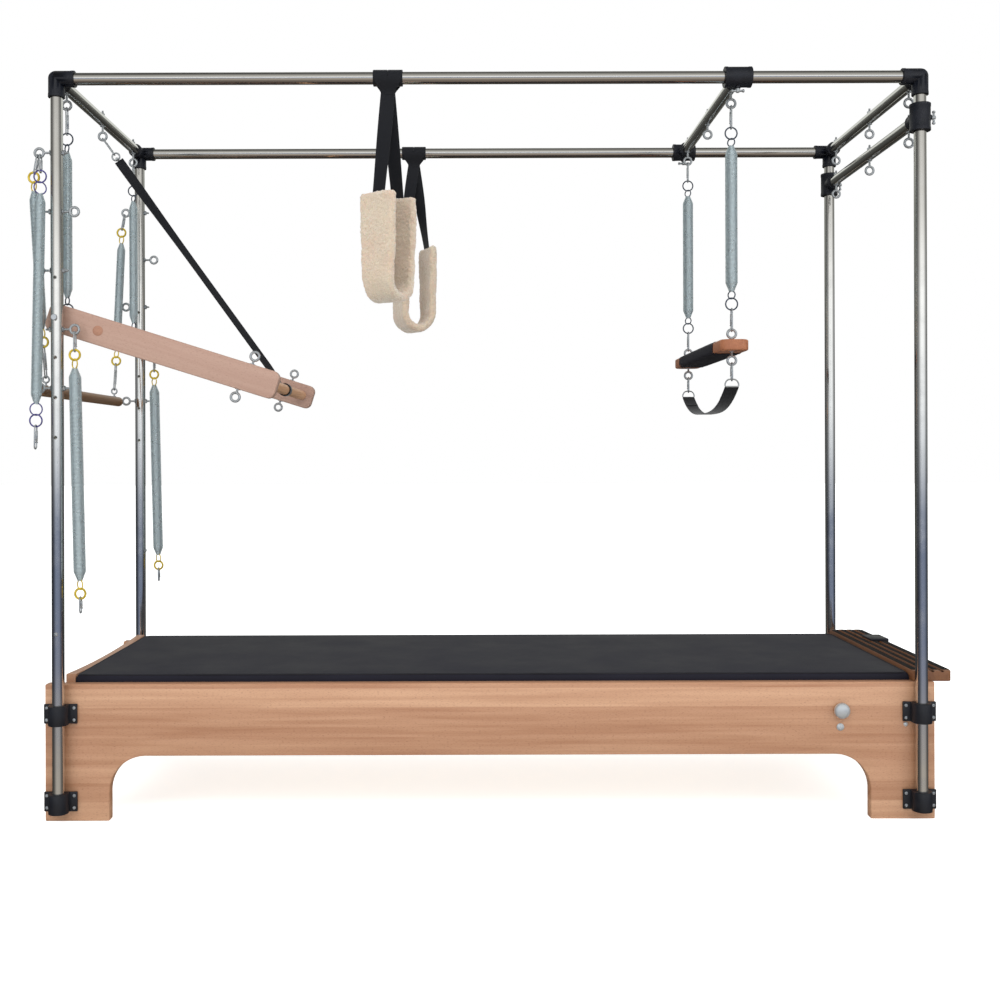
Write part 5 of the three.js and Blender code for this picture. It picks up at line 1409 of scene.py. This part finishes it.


# The middle colour is the painted shade in the hollows between the curls.
cream_fleece = fleece("cream sheepskin fleece", "#CDBDA8", "#AA9680", "#DCD2C4")
for side, sign in SIDES:
    body = "sling_" + side
    origin = Vector((SLING_X[side], sign * POST_Y, CANOPY_HEIGHT))
    turn = SLING_TURN[side]
    across = Vector((math.cos(turn), math.sin(turn), 0))
    broad = Vector((-math.sin(turn), math.cos(turn), 0))
    wrap = bmesh.new()
    for half in (-0.25, 0.25):
        band = band_section(WRAP_LENGTH / 2 - 0.3 * MM, WRAP_THICKNESS)
        wrap_points = [origin + Vector((WRAP_LENGTH * half, WRAP_OUT * math.sin(a), WRAP_OUT * math.cos(a)))
                       for a in TURNS]
        sweep(wrap, band, wrap_points, (1, 0, 0), closed=True)
    for face in (-1, 1):
        neck_points, neck_sections = [], []
        for share in (i / NECK_STEPS for i in range(NECK_STEPS + 1)):
            ease = eased(share)
            width = WRAP_LENGTH - 4 * MM + (NECK_WIDTH - WRAP_LENGTH + 4 * MM) * ease
            out = face * (WRAP_OUT * (1 - ease) + 3.2 * MM * ease)
            neck_points.append(origin + Vector((0, out, -2 * MM - NECK_DROP * share)))
            fold = 1.2 * MM * math.sin(share * math.pi)
            neck_sections.append([(x, y + fold * math.sin(x / width * 22))
                                  for x, y in band_section(width, WRAP_THICKNESS)])
        sweep(wrap, neck_sections, neck_points, (1, 0, 0))
    wrap_piece = finished(body + ".wrap", wrap, black_webbing, "webbing", body)

    legs = bmesh.new()
    for way in (-1, 1):
        foot_at = origin + across * way * CUFF_SPREAD + Vector((0, 0, -CUFF_TOP - 24 * MM))
        top_at = origin + Vector((0, way * 2.2 * MM, -NECK_DROP + 2 * MM))
        points, side_ways = [], []
        for share in (i / SLING_LEG_STEPS for i in range(SLING_LEG_STEPS + 1)):
            points.append(top_at.lerp(foot_at, share))
            side_ways.append(Vector((1, 0, 0)).lerp(-broad, eased(share)).normalized())
        sweep(legs, band_section(SLING_LEG_WIDTH, SLING_LEG_THICKNESS), points, side_ways)
    legs_piece = finished(body + ".legs", legs, black_webbing, "webbing", body)

    bend_z = -CUFF_BOTTOM + CUFF_SPREAD + CUFF_THICKNESS / 2
    straight = bend_z + CUFF_TOP
    rows = int(abs(straight) / FLEECE_STEP)
    bend_rows = int(math.pi * CUFF_SPREAD / FLEECE_STEP)
    bend = [math.pi + math.pi * i / bend_rows for i in range(bend_rows + 1)]
    cuff_points = [(-CUFF_SPREAD, -CUFF_TOP + straight * i / rows) for i in range(rows)]
    cuff_points += [(CUFF_SPREAD * math.cos(a), bend_z + CUFF_SPREAD * math.sin(a)) for a in bend]
    cuff_points += [(CUFF_SPREAD, bend_z - straight * i / rows) for i in range(1, rows + 1)]
    section = []
    end_radius = CUFF_THICKNESS / 2
    straight_half = (CUFF_WIDTH - CUFF_THICKNESS) / 2
    width_steps = int((CUFF_WIDTH - CUFF_THICKNESS) / FLEECE_STEP)
    for face in (1, -1):
        for i in range(width_steps + 1):
            section.append((face * (2 * straight_half * i / width_steps - straight_half), -face * end_radius))
        for i in range(1, CUFF_END_STEPS):
            angle = math.pi * i / CUFF_END_STEPS - face * math.pi / 2
            section.append((face * straight_half + end_radius * math.cos(angle),
                            end_radius * math.sin(angle)))
    cuff_sections = []
    for i in range(len(cuff_points)):
        from_end = min(i, len(cuff_points) - 1 - i) * FLEECE_STEP / end_radius
        plump = math.sqrt(max(0.02, 1 - (1 - min(from_end, 1)) ** 2))
        low_down = min(1.0, abs(cuff_points[i][1] + CUFF_TOP) / (CUFF_BOTTOM - CUFF_TOP))
        breadth = (0.86 + 0.14 * plump) * (1 - CUFF_DRAW * low_down ** 1.5)
        cuff_sections.append([(x * breadth, y * plump) for x, y in section])
    cuff = bmesh.new()
    line = [origin + across * out + Vector((0, 0, down)) for out, down in cuff_points]
    sweep(cuff, cuff_sections, line, broad)
    bmesh.ops.recalc_face_normals(cuff, faces=cuff.faces)
    cuff.normal_update()
    for vert in cuff.verts:
        clump = noise.noise(vert.co / TUFT_SIZE) + 0.6 * noise.noise(vert.co / (0.45 * TUFT_SIZE))
        slack = noise.noise(vert.co / (7 * TUFT_SIZE) + Vector((3, 1, 2)))
        vert.co += vert.normal * (TUFT_HEIGHT * clump + SLACK_HEIGHT * slack)
    cuff_piece = finished(body + ".fleece", cuff, cream_fleece, "fleece", body, body)


# Lock knob: a domed, satin-plated pull knob on a sprung stem through the near rail.
KNOB = 20.5 * MM
KNOB_STEM = 6 * MM
KNOB_STAND_OFF = 4 * MM
KNOB_DEPTH = 15 * MM

low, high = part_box("lock_knob")
knob_x, knob_z = (low.x + high.x) / 2, (low.z + high.z) / 2
rail_face = low.y + KNOB_STAND_OFF + KNOB_DEPTH
knob = bmesh.new()
stem_inside = high.y - rail_face
dome = [(KNOB * math.cos(a), KNOB_STAND_OFF + 8 * MM + 7 * MM * math.sin(a))
        for a in [math.radians(9 * i) for i in range(11)]]
stem = [(0, -stem_inside), (KNOB_STEM - MM, -stem_inside), (KNOB_STEM, -stem_inside + MM),
        (KNOB_STEM, KNOB_STAND_OFF), (KNOB - 2 * MM, KNOB_STAND_OFF), (KNOB, KNOB_STAND_OFF + 2 * MM)]
lathe(knob, stem + dome, (knob_x, rail_face, knob_z), (0, -1, 0), 48)
satin_knob = plated_steel("satin nickel-plated knob", "#E2E8EC", 0.42, clouded=0.9)
finished("lock_knob.knob", knob, satin_knob, "zinc_steel", "lock_knob", "lock_knob")

# Cover caps: two small pressed caps over the bolts that hold the lock's plate behind the rail
small_caps = bmesh.new()
for cap_x, cap_z, cap_radius in ((929 * MM, 244 * MM, 10 * MM), (1102 * MM, 251 * MM, 6 * MM)):
    cap = [(0, -MM), (cap_radius, -MM), (cap_radius, 0.8 * MM), (0.8 * cap_radius, 2.4 * MM),
           (0.4 * cap_radius, 3.1 * MM), (0, 3.3 * MM)]
    lathe(small_caps, cap, (cap_x, rail_face, cap_z), (0, -1, 0), 32)
finished("side_rail_near.caps", small_caps, satin_knob, "zinc_steel", "frame")
